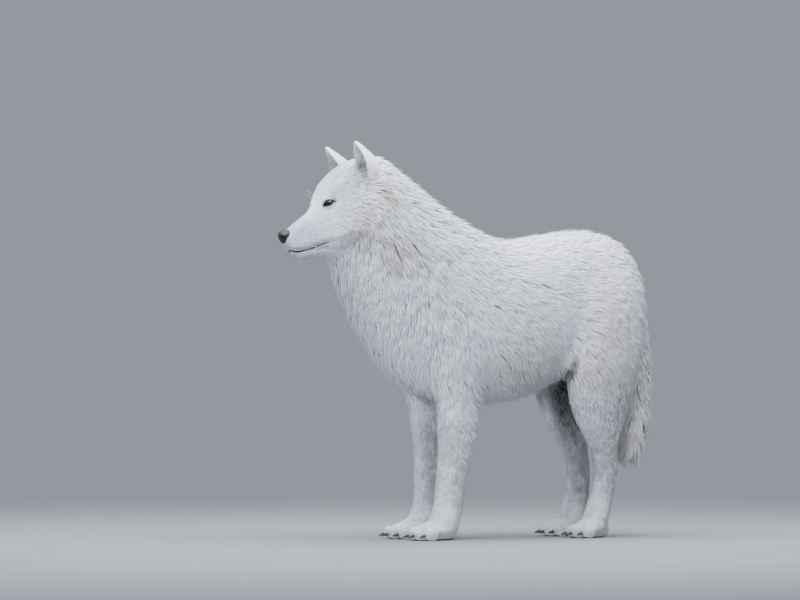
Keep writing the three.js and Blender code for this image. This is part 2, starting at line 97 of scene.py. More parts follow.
# The lie of the coat: at each place its direction, then how deep the skin lies under the tips, how long and
# how wide a tuft is, and how much the tufts are drawn together into locks, from 0 to 1.
LIE = {
    "torso": [
        (-355, 0, 935, 0.90, 0, -0.30, 16, 34, 3.4, 0.35),
        (-290, 0, 895, 0.85, 0, -0.50, 26, 50, 4.0, 0.45),
        (-200, 0, 825, 0.82, 0, -0.55, 28, 56, 4.2, 0.50),
        (-110, 0, 772, 0.92, 0, -0.35, 24, 52, 4.0, 0.45),
        (0, 0, 732, 1.00, 0, -0.02, 18, 44, 3.8, 0.35),
        (130, 0, 751, 1.00, 0, 0.04, 18, 42, 3.8, 0.35),
        (250, 0, 752, 1.00, 0, -0.12, 18, 40, 3.8, 0.35),
        (335, 0, 700, 0.45, 0, -0.90, 18, 40, 3.8, 0.35),
        (365, 20, 600, 0.10, 0.1, -1.00, 16, 40, 3.8, 0.35),
        (-370, 95, 850, 0.62, 0.1, -0.75, 24, 44, 4.0, 0.55),
        (-380, 112, 760, 0.35, 0.1, -0.90, 30, 54, 4.2, 0.75),
        (-330, 120, 780, 0.55, 0, -0.80, 30, 58, 4.4, 0.65),
        (-400, 100, 690, 0.10, 0.1, -1.00, 30, 58, 4.4, 0.80),
        (-300, 132, 700, 0.35, 0, -0.90, 32, 62, 4.6, 0.75),
        (-240, 120, 790, 0.75, 0, -0.62, 28, 58, 4.4, 0.50),
        (-330, 128, 600, -0.20, 0.1, -1.00, 30, 60, 4.6, 0.75),
        (-270, 142, 600, 0.00, 0, -1.00, 28, 56, 4.4, 0.65),
        (-260, 140, 490, -0.05, 0, -1.00, 24, 50, 4.2, 0.55),
        (-180, 148, 650, 0.70, 0, -0.65, 24, 52, 4.2, 0.50),
        (-190, 148, 520, 0.30, 0, -0.95, 22, 48, 4.2, 0.50),
        (-110, 130, 720, 0.90, 0, -0.42, 22, 48, 4.0, 0.45),
        (-90, 150, 580, 0.75, 0, -0.62, 22, 48, 4.0, 0.50),
        (-60, 146, 440, 0.55, 0, -0.85, 22, 50, 4.2, 0.60),
        (50, 140, 640, 0.92, 0, -0.35, 18, 46, 4.0, 0.45),
        (50, 136, 500, 0.75, 0, -0.62, 20, 48, 4.2, 0.55),
        (50, 120, 400, 0.62, 0, -0.80, 22, 50, 4.2, 0.60),
        (160, 124, 650, 0.97, 0, -0.25, 18, 44, 4.0, 0.45),
        (160, 120, 500, 0.80, 0, -0.60, 18, 46, 4.0, 0.50),
        (190, 90, 410, 0.45, 0, -0.90, 18, 42, 4.0, 0.50),
        (250, 122, 680, 0.85, 0, -0.50, 18, 42, 3.8, 0.40),
        (270, 120, 560, 0.45, 0, -0.90, 18, 42, 3.8, 0.45),
        (260, 112, 440, 0.30, 0, -0.95, 16, 38, 3.8, 0.45),
        (335, 85, 620, 0.35, 0.1, -0.95, 18, 42, 3.8, 0.45),
        (120, 0, 380, 0.90, 0, -0.40, 18, 42, 4.0, 0.50),
        (0, 0, 330, 0.80, 0, -0.60, 20, 46, 4.0, 0.50),
        (-120, 0, 328, 0.80, 0, -0.60, 20, 46, 4.0, 0.50),
        (-235, 0, 346, 0.45, 0, -0.90, 22, 48, 4.2, 0.55),
        (-330, 0, 420, 0.20, 0, -1.00, 26, 52, 4.4, 0.60),
        (-400, 0, 515, 0.05, 0, -1.00, 28, 56, 4.4, 0.65),
        (-440, 0, 600, 0.00, 0, -1.00, 26, 52, 4.2, 0.65),
        (-468, 0, 662, 0.05, 0, -1.00, 18, 40, 3.6, 0.55),
        (-455, 60, 650, 0.05, 0.1, -1.00, 22, 46, 4.0, 0.65),
    ],
    "head": [
        (-600, 18, 718, 0.95, 0.10, 0.05, 1.2, 5, 1.3, 0.0),
        (-590, 0, 758, 0.90, 0, 0.45, 1.2, 5, 1.3, 0.0),
        (-570, 28, 735, 0.98, 0.10, 0.02, 1.6, 7, 1.5, 0.1),
        (-560, 0, 780, 0.90, 0, 0.45, 1.6, 7, 1.5, 0.1),
        (-553, 36, 709, 0.95, 0.10, -0.30, 2.0, 9, 1.6, 0.1),
        (-530, 30, 782, 0.85, 0.20, 0.45, 2.0, 9, 1.7, 0.1),
        (-517, 0, 822, 0.62, 0, 0.80, 2.5, 10, 1.8, 0.1),
        (-500, 20, 852, 0.72, 0.10, 0.70, 3.0, 12, 2.0, 0.2),
        (-492, 44, 842, 0.80, 0.35, 0.45, 3.0, 11, 1.9, 0.2),
        (-470, 0, 892, 0.82, 0, 0.57, 5.0, 16, 2.2, 0.2),
        (-430, 25, 912, 0.97, 0, 0.10, 7.0, 20, 2.5, 0.3),
        (-370, 0, 922, 0.95, 0, -0.25, 12, 30, 3.2, 0.35),
        (-520, 48, 770, 0.92, 0.25, -0.15, 2.5, 10, 1.8, 0.1),
        (-505, 60, 735, 0.85, 0.25, -0.35, 4.0, 14, 2.1, 0.3),
        (-470, 70, 820, 0.92, 0.20, -0.05, 4.5, 15, 2.1, 0.3),
        (-470, 80, 780, 0.80, 0.30, -0.40, 7.0, 20, 2.5, 0.4),
        (-455, 92, 725, 0.50, 0.25, -0.80, 14, 34, 3.4, 0.6),
        (-420, 84, 850, 0.80, 0.20, -0.45, 9.0, 24, 2.8, 0.4),
        (-415, 98, 790, 0.55, 0.25, -0.75, 17, 38, 3.6, 0.65),
        (-385, 100, 740, 0.30, 0.20, -0.95, 24, 48, 4.0, 0.75),
        (-565, 0, 682, 0.96, 0, -0.20, 1.6, 8, 1.6, 0.1),
        (-555, 25, 693, 0.95, 0.10, -0.25, 1.6, 8, 1.6, 0.1),
        (-520, 38, 700, 0.90, 0.15, -0.40, 3.0, 12, 2.0, 0.2),
        (-495, 0, 680, 0.70, 0, -0.70, 5.0, 18, 2.4, 0.3),
        (-470, 45, 672, 0.35, 0.15, -0.95, 12, 30, 3.2, 0.55),
    ],
    "ear": [
        (-400, 56, 858, -0.20, 0.10, 1.0, 2.4, 13, 1.9, 0.2),
        (-415, 70, 915, -0.30, 0.15, 1.0, 1.7, 9, 1.7, 0.1),
        (-440, 78, 958, -0.30, 0.15, 1.0, 1.2, 5, 1.4, 0.0),
    ],
    "foreleg": [
        (-250, 90, 470, 0.05, 0, -1.0, 14, 34, 3.6, 0.4),
        (-240, 84, 360, 0.00, 0, -1.0, 10, 26, 3.2, 0.35),
        (-100, 84, 360, 0.70, 0, -0.8, 14, 40, 3.8, 0.75),
        (-222, 66, 250, 0.02, 0, -1.0, 5, 17, 2.5, 0.40),
        (-115, 68, 260, 0.70, 0, -0.8, 9, 30, 3.2, 0.75),
        (-220, 57, 150, 0.00, 0, -1.0, 3.5, 14, 2.3, 0.40),
        (-142, 57, 140, 0.60, 0, -0.8, 5, 20, 2.5, 0.60),
        (-225, 55, 80, -0.20, 0, -1.0, 3, 12, 2.1, 0.2),
    ],
    "forefoot": [
        (-235, 55, 60, -0.60, 0, -0.8, 3, 12, 2.1, 0.2),
        (-160, 55, 50, -0.10, 0, -1.0, 3, 12, 2.1, 0.2),
        (-285, 56, 28, -0.85, 0, -0.5, 2.2, 9, 1.9, 0.1),
    ],
    "hindleg": [
        (250, 120, 520, 0.35, 0, -0.95, 16, 38, 3.7, 0.45),
        (140, 90, 440, 0.35, 0, -0.95, 14, 34, 3.6, 0.45),
        (330, 88, 440, 0.10, 0, -1.0, 16, 38, 3.7, 0.5),
        (220, 110, 380, 0.25, 0, -0.97, 13, 32, 3.4, 0.5),
        (150, 84, 330, 0.40, 0, -0.95, 9, 25, 3.1, 0.4),
        (290, 84, 320, 0.05, 0, -1.0, 13, 34, 3.4, 0.55),
        (205, 76, 215, 0.15, 0, -1.0, 4.5, 16, 2.5, 0.40),
        (268, 74, 215, 0.15, 0, -1.0, 6, 22, 2.7, 0.55),
        (240, 66, 140, 0.05, 0, -1.0, 3.5, 15, 2.4, 0.45),
        (215, 62, 85, -0.30, 0, -1.0, 3, 12, 2.2, 0.2),
    ],
    "hindfoot": [
        (200, 60, 60, -0.60, 0, -0.8, 3, 12, 2.1, 0.2),
        (256, 60, 50, -0.15, 0, -1.0, 3, 12, 2.1, 0.2),
        (150, 60, 28, -0.85, 0, -0.5, 2.2, 9, 1.9, 0.1),
    ],
    "tail": [
        (322, 0, 668, 0.20, 0, -1.0, 16, 42, 3.8, 0.4),
        (350, 30, 560, 0.05, 0.05, -1.0, 20, 50, 4.0, 0.5),
        (358, 40, 420, 0.05, 0.05, -1.0, 24, 60, 4.2, 0.55),
        (354, 40, 300, 0.00, 0.00, -1.0, 25, 66, 4.2, 0.6),
        (345, 20, 215, -0.05, -0.1, -1.0, 20, 60, 4.0, 0.6),
        (395, 0, 380, 0.12, 0, -1.0, 24, 60, 4.2, 0.55),
    ],
}

# Soft spots of colour, some the coat's own and some painted shade: a soft spot's place, its reach along X, Y
# and Z, its colour and how much of it shows. Both sides.
# the coat's white, with a cool blue cast painted in for the cool light
WHITE = (0.86, 0.875, 0.925)
MARKS_AND_PAINTED_SHADE = [
    # painted shade: cool blue-grey over the muzzle, the face by the eye and the forehead
    ((-560, 20, 735), (70, 50, 55), (0.28, 0.32, 0.41), 0.76),
    ((-485, 45, 800), (70, 50, 60), (0.46, 0.47, 0.52), 0.52),
    ((-460, 0, 885), (80, 80, 55), (0.34, 0.36, 0.42), 0.62),
    ((-265, 146, 620), (80, 50, 110), (0.60, 0.58, 0.60), 0.38),
    # painted shade under the belly
    ((50, 80, 370), (170, 90, 55), (0.42, 0.39, 0.40), 0.68),
    # painted shade on the inner sides of the forelegs and the hind shanks
    ((-190, 20, 250), (70, 30, 200), (0.26, 0.25, 0.28), 0.78),
    ((230, 38, 170), (64, 30, 130), (0.13, 0.12, 0.13), 0.79),
    ((250, 118, 340), (80, 50, 130), (0.46, 0.43, 0.45), 0.58),
    ((240, 96, 180), (50, 34, 110), (0.44, 0.42, 0.45), 0.60),
    ((-374, 88, 835), (20, 44, 50), (0.40, 0.28, 0.19), 0.74),
    ((-362, 116, 668), (26, 44, 24), (0.36, 0.30, 0.27), 0.60),
    ((-500, 44, 812), (15, 14, 11), (0.42, 0.40, 0.40), 0.55),
    ((-350, 112, 700), (60, 50, 45), (0.52, 0.44, 0.37), 0.50),
    ((-430, 92, 765), (38, 40, 60), (0.39, 0.35, 0.325), 0.64),
    ((-442, 88, 722), (40, 40, 24), (0.42, 0.37, 0.34), 0.50),
    ((-478, 62, 838), (30, 22, 22), (0.56, 0.54, 0.53), 0.35),
    # painted shadow in the opening at the base of each ear
    ((-418, 55, 892), (12, 18, 30), (0.15, 0.14, 0.145), 0.88),
    ((-560, 32, 722), (28, 14, 18), (0.62, 0.62, 0.64), 0.45),
    ((-410, 74, 905), (18, 22, 60), (0.70, 0.64, 0.58), 0.50),
    ((-100, 0, 770), (160, 60, 40), (0.84, 0.78, 0.68), 0.50),
    ((150, 0, 755), (150, 60, 30), (0.86, 0.81, 0.72), 0.50),
    ((30, 140, 430), (130, 60, 70), (0.60, 0.52, 0.44), 0.42),
    ((215, 124, 520), (50, 40, 130), (0.64, 0.55, 0.45), 0.45),
    ((322, 66, 460), (24, 50, 110), (0.78, 0.70, 0.60), 0.45),
    ((300, 30, 470), (40, 36, 110), (0.66, 0.58, 0.49), 0.45),
    # painted shade with some stain: the dark inner thighs and groin, and a dark streak at the rear of each
    # thigh
    ((202, 46, 336), (54, 30, 112), (0.070, 0.064, 0.066), 0.93),
    ((190, 30, 420), (60, 46, 50), (0.10, 0.095, 0.10), 0.85),
    ((222, 50, 225), (36, 24, 80), (0.30, 0.28, 0.29), 0.60),
    ((255, 100, 335), (26, 34, 40), (0.36, 0.34, 0.34), 0.45),
    ((355, 30, 330), (60, 60, 150), (0.90, 0.83, 0.74), 0.60),
    ((345, 0, 190), (40, 40, 40), (0.78, 0.71, 0.62), 0.35),
    # the paws grey-brown, partly dirt and partly painted shade
    ((165, 60, 22), (60, 50, 26), (0.44, 0.41, 0.38), 0.55),
    ((-275, 56, 10), (50, 50, 16), (0.44, 0.40, 0.37), 0.55),
    ((-150, 57, 60), (26, 50, 50), (0.60, 0.57, 0.53), 0.35),
    # painted shade: a dark wedge in the fold between flank and thigh
    ((131, 84, 404), (16, 34, 22), (0.07, 0.065, 0.068), 0.92),
    ((137, 92, 430), (10, 24, 24), (0.08, 0.074, 0.076), 0.90),
]

# An eye: the ball's middle and size, which way it looks, the half length of its opening and its half heights
# above and below, and the tilt that lifts its rear corner.
EYE = dict(at=(-500, 40, 812), sunk=4.0, ball=15.0, look=53.0, tilt=20.0, half=10.9, above=7.6, below=4.4)
# The rings of an eyelid's tube: their size against the opening, and their height over the ball or the skin.
LIDS = [(0.95, -0.9), (0.99, 0.5), (1.06, 1.0), (1.17, 1.1), (1.30, 0.8), (1.42, -0.6), (1.1, -3.0)]
EYE_CLEAR = 1.38           # no tuft grows nearer to an eye than this many openings
EYE_DARK = 1.32            # the skin is dark up to this many openings
RIM_COLOUR = (0.03, 0.027, 0.027)
SOLE_COLOUR = (0.05, 0.045, 0.045)
# The eye's colours by the angle from the way it looks, in radians: pupil, iris, dark edge and dark white.
EYE_COLOURS = [
    (0.0, (0.004, 0.004, 0.004)), (0.15, (0.004, 0.004, 0.004)), (0.19, (0.017, 0.011, 0.008)),
    (0.36, (0.032, 0.021, 0.012)), (0.44, (0.016, 0.010, 0.007)), (0.50, (0.006, 0.005, 0.005)),
    (1.0, (0.02, 0.015, 0.013))]
# inside: the colour of each ear's hollow, its darker skin with painted shade on it
EAR = dict(root=(-398, 52, 846), tip=(-442, 79, 961), reach=0.045, inside=(0.13, 0.11, 0.11))
NOSE = dict(at=(-602.5, 0, 736.5), half=(17.5, 17.5, 15.0), clear=(0.020, 0.0195, 0.0165), tilt=-12)
LIPS_NEAR = 0.09           # what is farther than this from the middle of the lips is not looked at
LIPS_CLEAR = 0.0028        # no tuft grows nearer to their line than this
LIPS_HIGH = 0.0016         # half the height of the line's tube
LIPS_SUNK = 0.0006
# A claw: the rings of its tube, how far its root is over the middle of its box, how far the point drops, its
# half height, and its half width against that.
CLAW = dict(steps=12, rise=0.0022, drop=0.0052, size=0.0039, slim=0.78)
BRUSH_END = 0.285          # below this height the tail's hair hangs free
TAIL_TIP = (0.240, 0.4)    # below this height the tail's flesh is this much shorter than its outline
# The line where the lips meet, from under the nose to the corner of the mouth. Each point is found from
# outside, level with it, looking at a place on the middle plane: that place's X, the angle round from the
# front, the height, and half the line's width.
LIPS = [(-570, 0, 702, 0.9), (-570, 14, 701.5, 1.7), (-570, 28, 700, 2.3), (-570, 42, 698.5, 2.5),
        (-570, 56, 697.5, 2.3), (-570, 72, 697.2, 2.0), (-570, 90, 698.3, 1.4), (-561, 90, 700.5, 0.8),
        (-550, 90, 703.5, 0.7), (-541, 90, 706, 1.4), (-533, 90, 710, 1.5), (-525, 90, 713.5, 0.8),
        (-515, 90, 716.5, 0.5), (-504, 90, 720, 0.3)]

# Long hairs of their own: where each grows, which way it runs and its length.
WHISKERS = [(x, 24, z, 0.5, 0.8, dz, long) for x, z, dz, long in (
    (-582, 722, -0.1, 34), (-570, 724, 0.0, 44), (-558, 726, 0.05, 54), (-576, 714, -0.35, 36),
    (-562, 715, -0.3, 48), (-548, 718, -0.25, 56), (-545, 728, 0.1, 50), (-568, 707, -0.5, 36))] + [
    (-510, 36, 836, -0.85, 0.15, 0.4, 26), (-500, 46, 838, -0.6, 0.4, 0.6, 26)]
HAIR_WIDTH = 0.0007


def put(x, y, z):
    """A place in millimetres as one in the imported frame."""
    return np.array([(x + ORIGIN_X) * MM, y * MM, z * MM])


def head(x, y, z):
    """A place on the head, which leans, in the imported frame."""
    c, s = LEAN_TURN
    h = z - LEAN[1]
    return put(x, y * c + h * s, LEAN[1] - y * s + h * c)


def turned(v):
    """A direction on the head, leaned with it."""
    c, s = LEAN_TURN
    x, y, z = v
    out = np.array([x, y * c + z * s, -y * s + z * c])
    return out / np.linalg.norm(out)


def unit(v):
    return v / np.maximum(np.linalg.norm(v, axis=-1, keepdims=True), 1e-12)


def ramp(x, low, high):
    """0 below low, 1 above high and smooth between."""
    t = np.clip((x - low) / (high - low), 0, 1)
    return t * t * (3 - 2 * t)


# ---- meshes -------------------------------------------------------------------------------

def read(items, key, width, kind=np.float32):
    """One property of all these parts of a mesh, in rows of this width."""
    flat = np.empty(len(items) * width, kind)
    items.foreach_get(key, flat)
    return flat.reshape(-1, width)


def arrays(mesh):
    """A mesh's vertices and triangles."""
    mesh.calc_loop_triangles()
    return read(mesh.vertices, "co", 3).astype(float), read(mesh.loop_triangles, "vertices", 3, np.int32)


def mesh_of(name, co, faces):
    """A smooth mesh of triangles or quads."""
    faces = np.asarray(faces, np.int32)
    count, sides = faces.shape
    mesh = bpy.data.meshes.new(name)
    mesh.vertices.add(len(co))
    mesh.vertices.foreach_set("co", np.asarray(co, np.float32).ravel())
    mesh.loops.add(count * sides)
    mesh.loops.foreach_set("vertex_index", faces.ravel())
    mesh.polygons.add(count)
    mesh.polygons.foreach_set("loop_start", np.arange(0, count * sides, sides, dtype=np.int32))
    mesh.polygons.foreach_set("use_smooth", np.ones(count, bool))
    mesh.update(calc_edges=True)
    return mesh


def linked(name, data):
    """A new object in the scene."""
    obj = bpy.data.objects.new(name, data)
    bpy.context.scene.collection.objects.link(obj)
    return obj


def applied(obj):
    """The object's mesh with its modifiers applied. The object itself goes."""
    made = bpy.data.meshes.new_from_object(obj.evaluated_get(bpy.context.evaluated_depsgraph_get()))
    bpy.data.objects.remove(obj)
    return made


def piece(name, mesh, material, slot, *nodes):
    """A piece of the animal: it rides on the root and stands for these solids."""
    obj = linked(name, mesh)
    mesh.materials.clear()
    mesh.materials.append(material)
    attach(obj, "root")
    if nodes:
        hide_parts(*nodes)
    return obj


def normals_of(co, tri):
    a, b, c = co[tri[:, 0]], co[tri[:, 1]], co[tri[:, 2]]
    face = np.cross(b - a, c - a)
    out = np.zeros_like(co)
    for axis in range(3):
        w = np.repeat(face[:, axis], 3)
        out[:, axis] = np.bincount(tri.ravel(), weights=w, minlength=len(co))
    return unit(out)


def areas(co, tri):
    """The surface round each vertex."""
    a, b, c = co[tri[:, 0]], co[tri[:, 1]], co[tri[:, 2]]
    face = np.linalg.norm(np.cross(b - a, c - a), axis=1) / 6
    return np.bincount(tri.ravel(), weights=np.repeat(face, 3), minlength=len(co))


def nearest(points, others):
    """For each of the others, which of the points is nearest."""
    tree = KDTree(len(points))
    for i, p in enumerate(points.tolist()):
        tree.insert(p, i)
    tree.balance()
    return np.array([tree.find(p)[1] for p in others.tolist()])


def surface_of(co, tri):
    return BVHTree.FromPolygons(co.tolist(), tri.tolist())


class Web:
    """Who neighbours whom on a closed mesh, for evening things out over it."""

    def __init__(self, tri, count):
        self.a, self.b = tri.ravel(), tri[:, [1, 2, 0]].ravel()
        order = np.argsort(self.a, kind="stable")
        self.a, self.b = self.a[order], self.b[order]
        self.starts = np.flatnonzero(np.r_[True, self.a[1:] != self.a[:-1]])
        self.who = self.a[self.starts]
        self.degree = np.diff(np.r_[self.starts, len(self.a)])

    def mean(self, v):
        out = v.copy()
        sums = np.add.reduceat(v[self.b], self.starts, axis=0)
        shape = (-1,) + (1,) * (v.ndim - 1)
        out[self.who] = sums / self.degree.reshape(shape)
        return out

    def even(self, v, rounds, share=0.6):
        for _ in range(rounds):
            v = v + share * (self.mean(v) - v)
        return v


def attribute_colour(mesh, rgb):
    """The colours that the hair and skin materials read."""
    layer = mesh.color_attributes.new("Coat", "FLOAT_COLOR", "POINT")
    layer.data.foreach_set("color", np.c_[rgb, np.ones(len(rgb))].astype(np.float32).ravel())


def add_uv(mesh, name, uv):
    """A UV map from one place for each corner."""
    layer = mesh.uv_layers.new(name=name)
    layer.data.foreach_set("uv", uv.astype(np.float32).ravel())


# ---- the skin's shape ---------------------------------------------------------------------

def cast_skin():
    """One closed mesh over all the flesh solids, grown so that the cuts between them close. Also the solids'
    own surface, and which solid each of its faces is from."""
    plain, swollen, faces, owners, offset = [], [], [], [], 0
    for index, name in enumerate(FLESH):
        bm = bmesh.new()
        bm.from_mesh(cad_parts[name].data)
        bmesh.ops.remove_doubles(bm, verts=bm.verts, dist=2e-5)
        bmesh.ops.triangulate(bm, faces=bm.faces)
        mesh = bpy.data.meshes.new("solid")
        bm.to_mesh(mesh)
        bm.free()
        co, tri = arrays(mesh)
        bpy.data.meshes.remove(mesh)
        growth = 0.0009 if name.startswith("ear") else 0.0005
        plain.append(co)
        swollen.append(co + normals_of(co, tri) * growth)
        faces.append(tri + offset)
        owners += [index] * len(tri)
        offset += len(co)
    tri = np.concatenate(faces)
    obj = linked("cast", mesh_of("cast", np.concatenate(swollen), tri))
    remesh = obj.modifiers.new("remesh", "REMESH")
    remesh.mode = "VOXEL"
    remesh.voxel_size = VOXEL
    return applied(obj), surface_of(np.concatenate(plain), tri), np.array(owners)


def refine(mesh, test):
    """Cuts the faces inside a region into four."""
    bm = bmesh.new()
    bm.from_mesh(mesh)
    centres = np.array([f.calc_center_median() for f in bm.faces])
    wanted = test(centres)
    edges = {e for f, w in zip(bm.faces, wanted) if w for e in f.edges}
    bmesh.ops.subdivide_edges(bm, edges=list(edges), cuts=1, use_grid_fill=True)
    bmesh.ops.triangulate(bm, faces=[f for f in bm.faces if len(f.verts) > 4])
    bm.to_mesh(mesh)
    bm.free()


def refine_face(mesh):
    """A finer grain on the face, and a finer one again round the eyes and the lips."""
    face_end, lips_end = head(-440, 80, 870)[0], head(-490, 0, 0)[0]
    left, right = (eye_frame(side)[0] for side in (-1, 1))
    refine(mesh, lambda c: (c[:, 0] < face_end) & (c[:, 2] > 0.66))
    refine(mesh, lambda c: (np.linalg.norm(c - left, axis=1) < 0.026)
           | (np.linalg.norm(c - right, axis=1) < 0.026)
           | ((c[:, 0] < lips_end) & (c[:, 2] > 0.69) & (c[:, 2] < 0.735)))


def biggest_island(co, tri):
    """Only the biggest connected part of a mesh."""
    web, label = Web(tri, len(co)), np.arange(len(co))
    while True:
        new = label.copy()
        new[web.who] = np.minimum(label[web.who], np.minimum.reduceat(label[web.b], web.starts))
        for _ in range(6):
            new = new[new]
        if (new == label).all():
            break
        label = new
    names, counts = np.unique(label, return_counts=True)
    keep = label == names[counts.argmax()]
    index = np.cumsum(keep) - 1
    return co[keep], index[tri[keep[tri[:, 0]]]]


def eye_frame(side):
    """The middle of the eyeball, then the axes along the eye, up it and out of it."""
    a, t = math.radians(EYE["look"]), math.radians(EYE["tilt"])
    out = np.array([-math.cos(a), side * math.sin(a), 0.06])
    out /= np.linalg.norm(out)
    flat = np.array([math.sin(a), side * math.cos(a), 0.0])
    up = np.cross(out, flat) * (-1 if side < 0 else 1)
    up = up if up[2] > 0 else -up
    along = flat * math.cos(t) + up * math.sin(t)
    up = up * math.cos(t) - flat * math.sin(t)
    x, y, z = EYE["at"]
    middle = head(x, y * side, z) - turned(out) * EYE["sunk"] * MM
    return middle, turned(along), turned(up), turned(out)


def seen_from_eye(co, side):
    """Places in millimetres from the middle of an eyeball: along the eye, up it and out of it."""
    middle, along, up, out = eye_frame(side)
    rel = (co - middle) * TO_MM
    return rel @ along, rel @ up, rel @ out


def almond(x, y):
    """How far out a place is on the eye's opening: 1 on its edge. Millimetres."""
    high = np.where(y > 0, EYE["above"], EYE["below"])
    return np.sqrt((np.abs(x) / EYE["half"]) ** 2 + (np.abs(y) / high) ** 2)


def on_ear(co, side, low_end=-0.3, high_end=1.0):
    """How far along an ear each point is, from 0 at its root to 1 at its tip, the way to it from the ear's
    axis, which ends at these shares, and how long that way is."""
    low, high = (head(*EAR[end] * np.array([1, side, 1])) for end in ("root", "tip"))
    t = ((co - low) @ (high - low)) / ((high - low) @ (high - low))
    off = co - (low + np.clip(t, low_end, high_end)[:, None] * (high - low))
    return t, off, np.linalg.norm(off, axis=1)


def lip_points(side, tree):
    """The line of the lips on one side, laid on the skin, with the way out of the skin at each point."""
    points, ways = [], []
    for x, angle, z, _ in LIPS:
        c, d = math.cos(math.radians(angle)), side * math.sin(math.radians(angle))
        start = head(x - 90 * c, 90 * d, z)
        hit, normal, _, _ = tree.ray_cast(Vector(start), Vector(turned((c, -d, 0))))
        points.append(np.array(hit))
        ways.append(np.array(normal))
    return np.array(points), np.array(ways)


def toward(co, line):
    """From each point to a line of points: how far, how far above it the point is, and the way there."""
    best = np.full(len(co), 1e9)
    side = np.zeros(len(co))
    way = np.zeros((len(co), 3))
    for a, b in zip(line[:-1], line[1:]):
        ab = b - a
        t = np.clip(((co - a) @ ab) / (ab @ ab), 0, 1)
        to = a + t[:, None] * ab - co
        d = np.linalg.norm(to, axis=1)
        near = d < best
        way[near] = to[near]
        best[near] = d[near]
        side[near] = (co - a)[near, 2] - (t[near] * ab[2])
    return best, side, way


def sculpt_eye(co, side):
    """A socket with its lids, the brow over it and the hollow under it."""
    x, y, h = seen_from_eye(co, side)
    near = (np.hypot(x, y) < 34) & (h > -8) & (h < 40)
    rho = almond(x, y)
    ball = np.sqrt(np.maximum(EYE["ball"] ** 2 - x * x - y * y, 4.0))
    lid, low = ball + 0.7, ball - 4.0
    inner = low + (lid - low) * ramp(rho, 0.95, 1.12)
    outer = lid + (h - lid) * ramp(rho, 1.25, 2.3)
    target = np.where(rho < 1.25, inner, outer)
    # the skin never sinks into the ball
    cover = np.sqrt(np.maximum((EYE["ball"] + 0.8) ** 2 - x * x - y * y, 0))
    target = np.where(rho > 1.1, np.maximum(target, cover), target)
    brow = 2.2 * np.exp(-((x + 1) / 13) ** 2 - ((y - 14.5) / 4.5) ** 2)
    under = -1.0 * np.exp(-((x + 2) / 14) ** 2 - ((y + 11) / 3.0) ** 2)
    move = np.where(near, target - h + brow + under, 0)
    return co + (move * MM)[:, None] * eye_frame(side)[3]


def sculpt_lips(co, normal, line):
    """The groove between the lips on one side, and the swelling of the upper lip over it."""
    near = np.linalg.norm(co - line.mean(axis=0), axis=1) < LIPS_NEAR
    d, above, _ = toward(co[near], line)
    d, above = d * TO_MM, above * TO_MM
    dent = -2.6 * np.exp(-(d / 2.4) ** 2)
    lip = 1.3 * np.exp(-((above - 5.0) / 4.0) ** 2) * np.exp(-(d / 8.0) ** 2)
    co[near] += ((dent + lip) * MM)[:, None] * normal[near]


def table_of(group):
    """The rows of one group for both sides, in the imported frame."""
    rows = []
    for x, y, z, dx, dy, dz, *rest in LIE[group]:
        for side in (-1, 1):
            place = head(x, y * side, z) if group in ("head", "ear") else put(x, y * side, z)
            rows.append([*place, dx, dy * side, dz, *rest])
    return np.array(rows)


def comb(co, group_of):
    """The coat's direction and sizes at every vertex, from the rows of its group that are near."""
    out = np.zeros((len(co), 7))
    for group in LIE:
        chosen = np.flatnonzero(group_of == group)
        rows = table_of(group)
        for part in np.array_split(chosen, max(1, len(chosen) // 40000)):
            d2 = ((co[part, None, :] - rows[None, :, :3]) ** 2).sum(axis=2)
            w = 1 / (d2 + 0.012 ** 2) ** 2
            w /= w.sum(axis=1, keepdims=True)
            out[part] = w @ rows[:, 3:]
    return out


def surface_of_tips(web, co, group_of):
    """The outline that the tips of the coat reach: the solids' own, evened out."""
    strength = web.even(np.array([SMOOTHING[g] for g in group_of], float), 20)
    outer = co.copy()
    for i in range(max(SMOOTHING.values())):
        share = 0.6 * np.clip(strength - i, 0, 1)[:, None]
        outer += share * (web.mean(outer) - outer)
    # the ears come to a narrower tip than their solids
    for side in (-1, 1):
        t, off, away = on_ear(outer, side, -np.inf, np.inf)
        near = (away < EAR["reach"]) & (group_of == "ear")
        outer[:, 1] -= near * off[:, 1] * 0.35 * ramp(t, 0.5, 1.0)
    return outer


def lie_of_coat(web, outer, group_of):
    """The combed sizes, evened out, most of all where no fine form needs them."""
    coat = web.even(comb(outer, group_of), 14)
    fine = np.isin(group_of, ("head", "ear", "forefoot", "hindfoot")).astype(float)
    broad = web.even(fine, 10)[:, None]
    for _ in range(50):
        coat = coat + 0.6 * (1 - broad) * (web.mean(coat) - coat)
    return coat


def sink(web, tri, outer, depth, steps=8):
    """The surface of the flesh: the tips' own, moved in by the coat's depth."""
    inner = outer.copy()
    even = ramp(depth, 0.004, 0.016)[:, None]
    for _ in range(steps):
        normal = unit(web.even(normals_of(inner, tri), 3))
        inner = inner - normal * (depth / steps)[:, None]
        inner = inner + even * 0.5 * (web.mean(inner) - inner)
    return inner


def thin_out(co, tri, depth):
    """The skin's mesh with fewer faces, most of them spared where the coat is deep."""
    obj = linked("skin", mesh_of("skin", co, tri))
    keep = obj.vertex_groups.new(name="keep")
    spare = ramp(depth, 0.002, 0.010)
    for level in range(11):
        chosen = np.flatnonzero(np.round(spare * 10) == level)
        keep.add(chosen.tolist(), level / 10, "REPLACE")
    decimate = obj.modifiers.new("fewer", "DECIMATE")
    decimate.ratio = min(1.0, SKIN_FACES / len(tri))
    decimate.vertex_group = "keep"
    decimate.vertex_group_factor = 0.6
    return applied(obj)


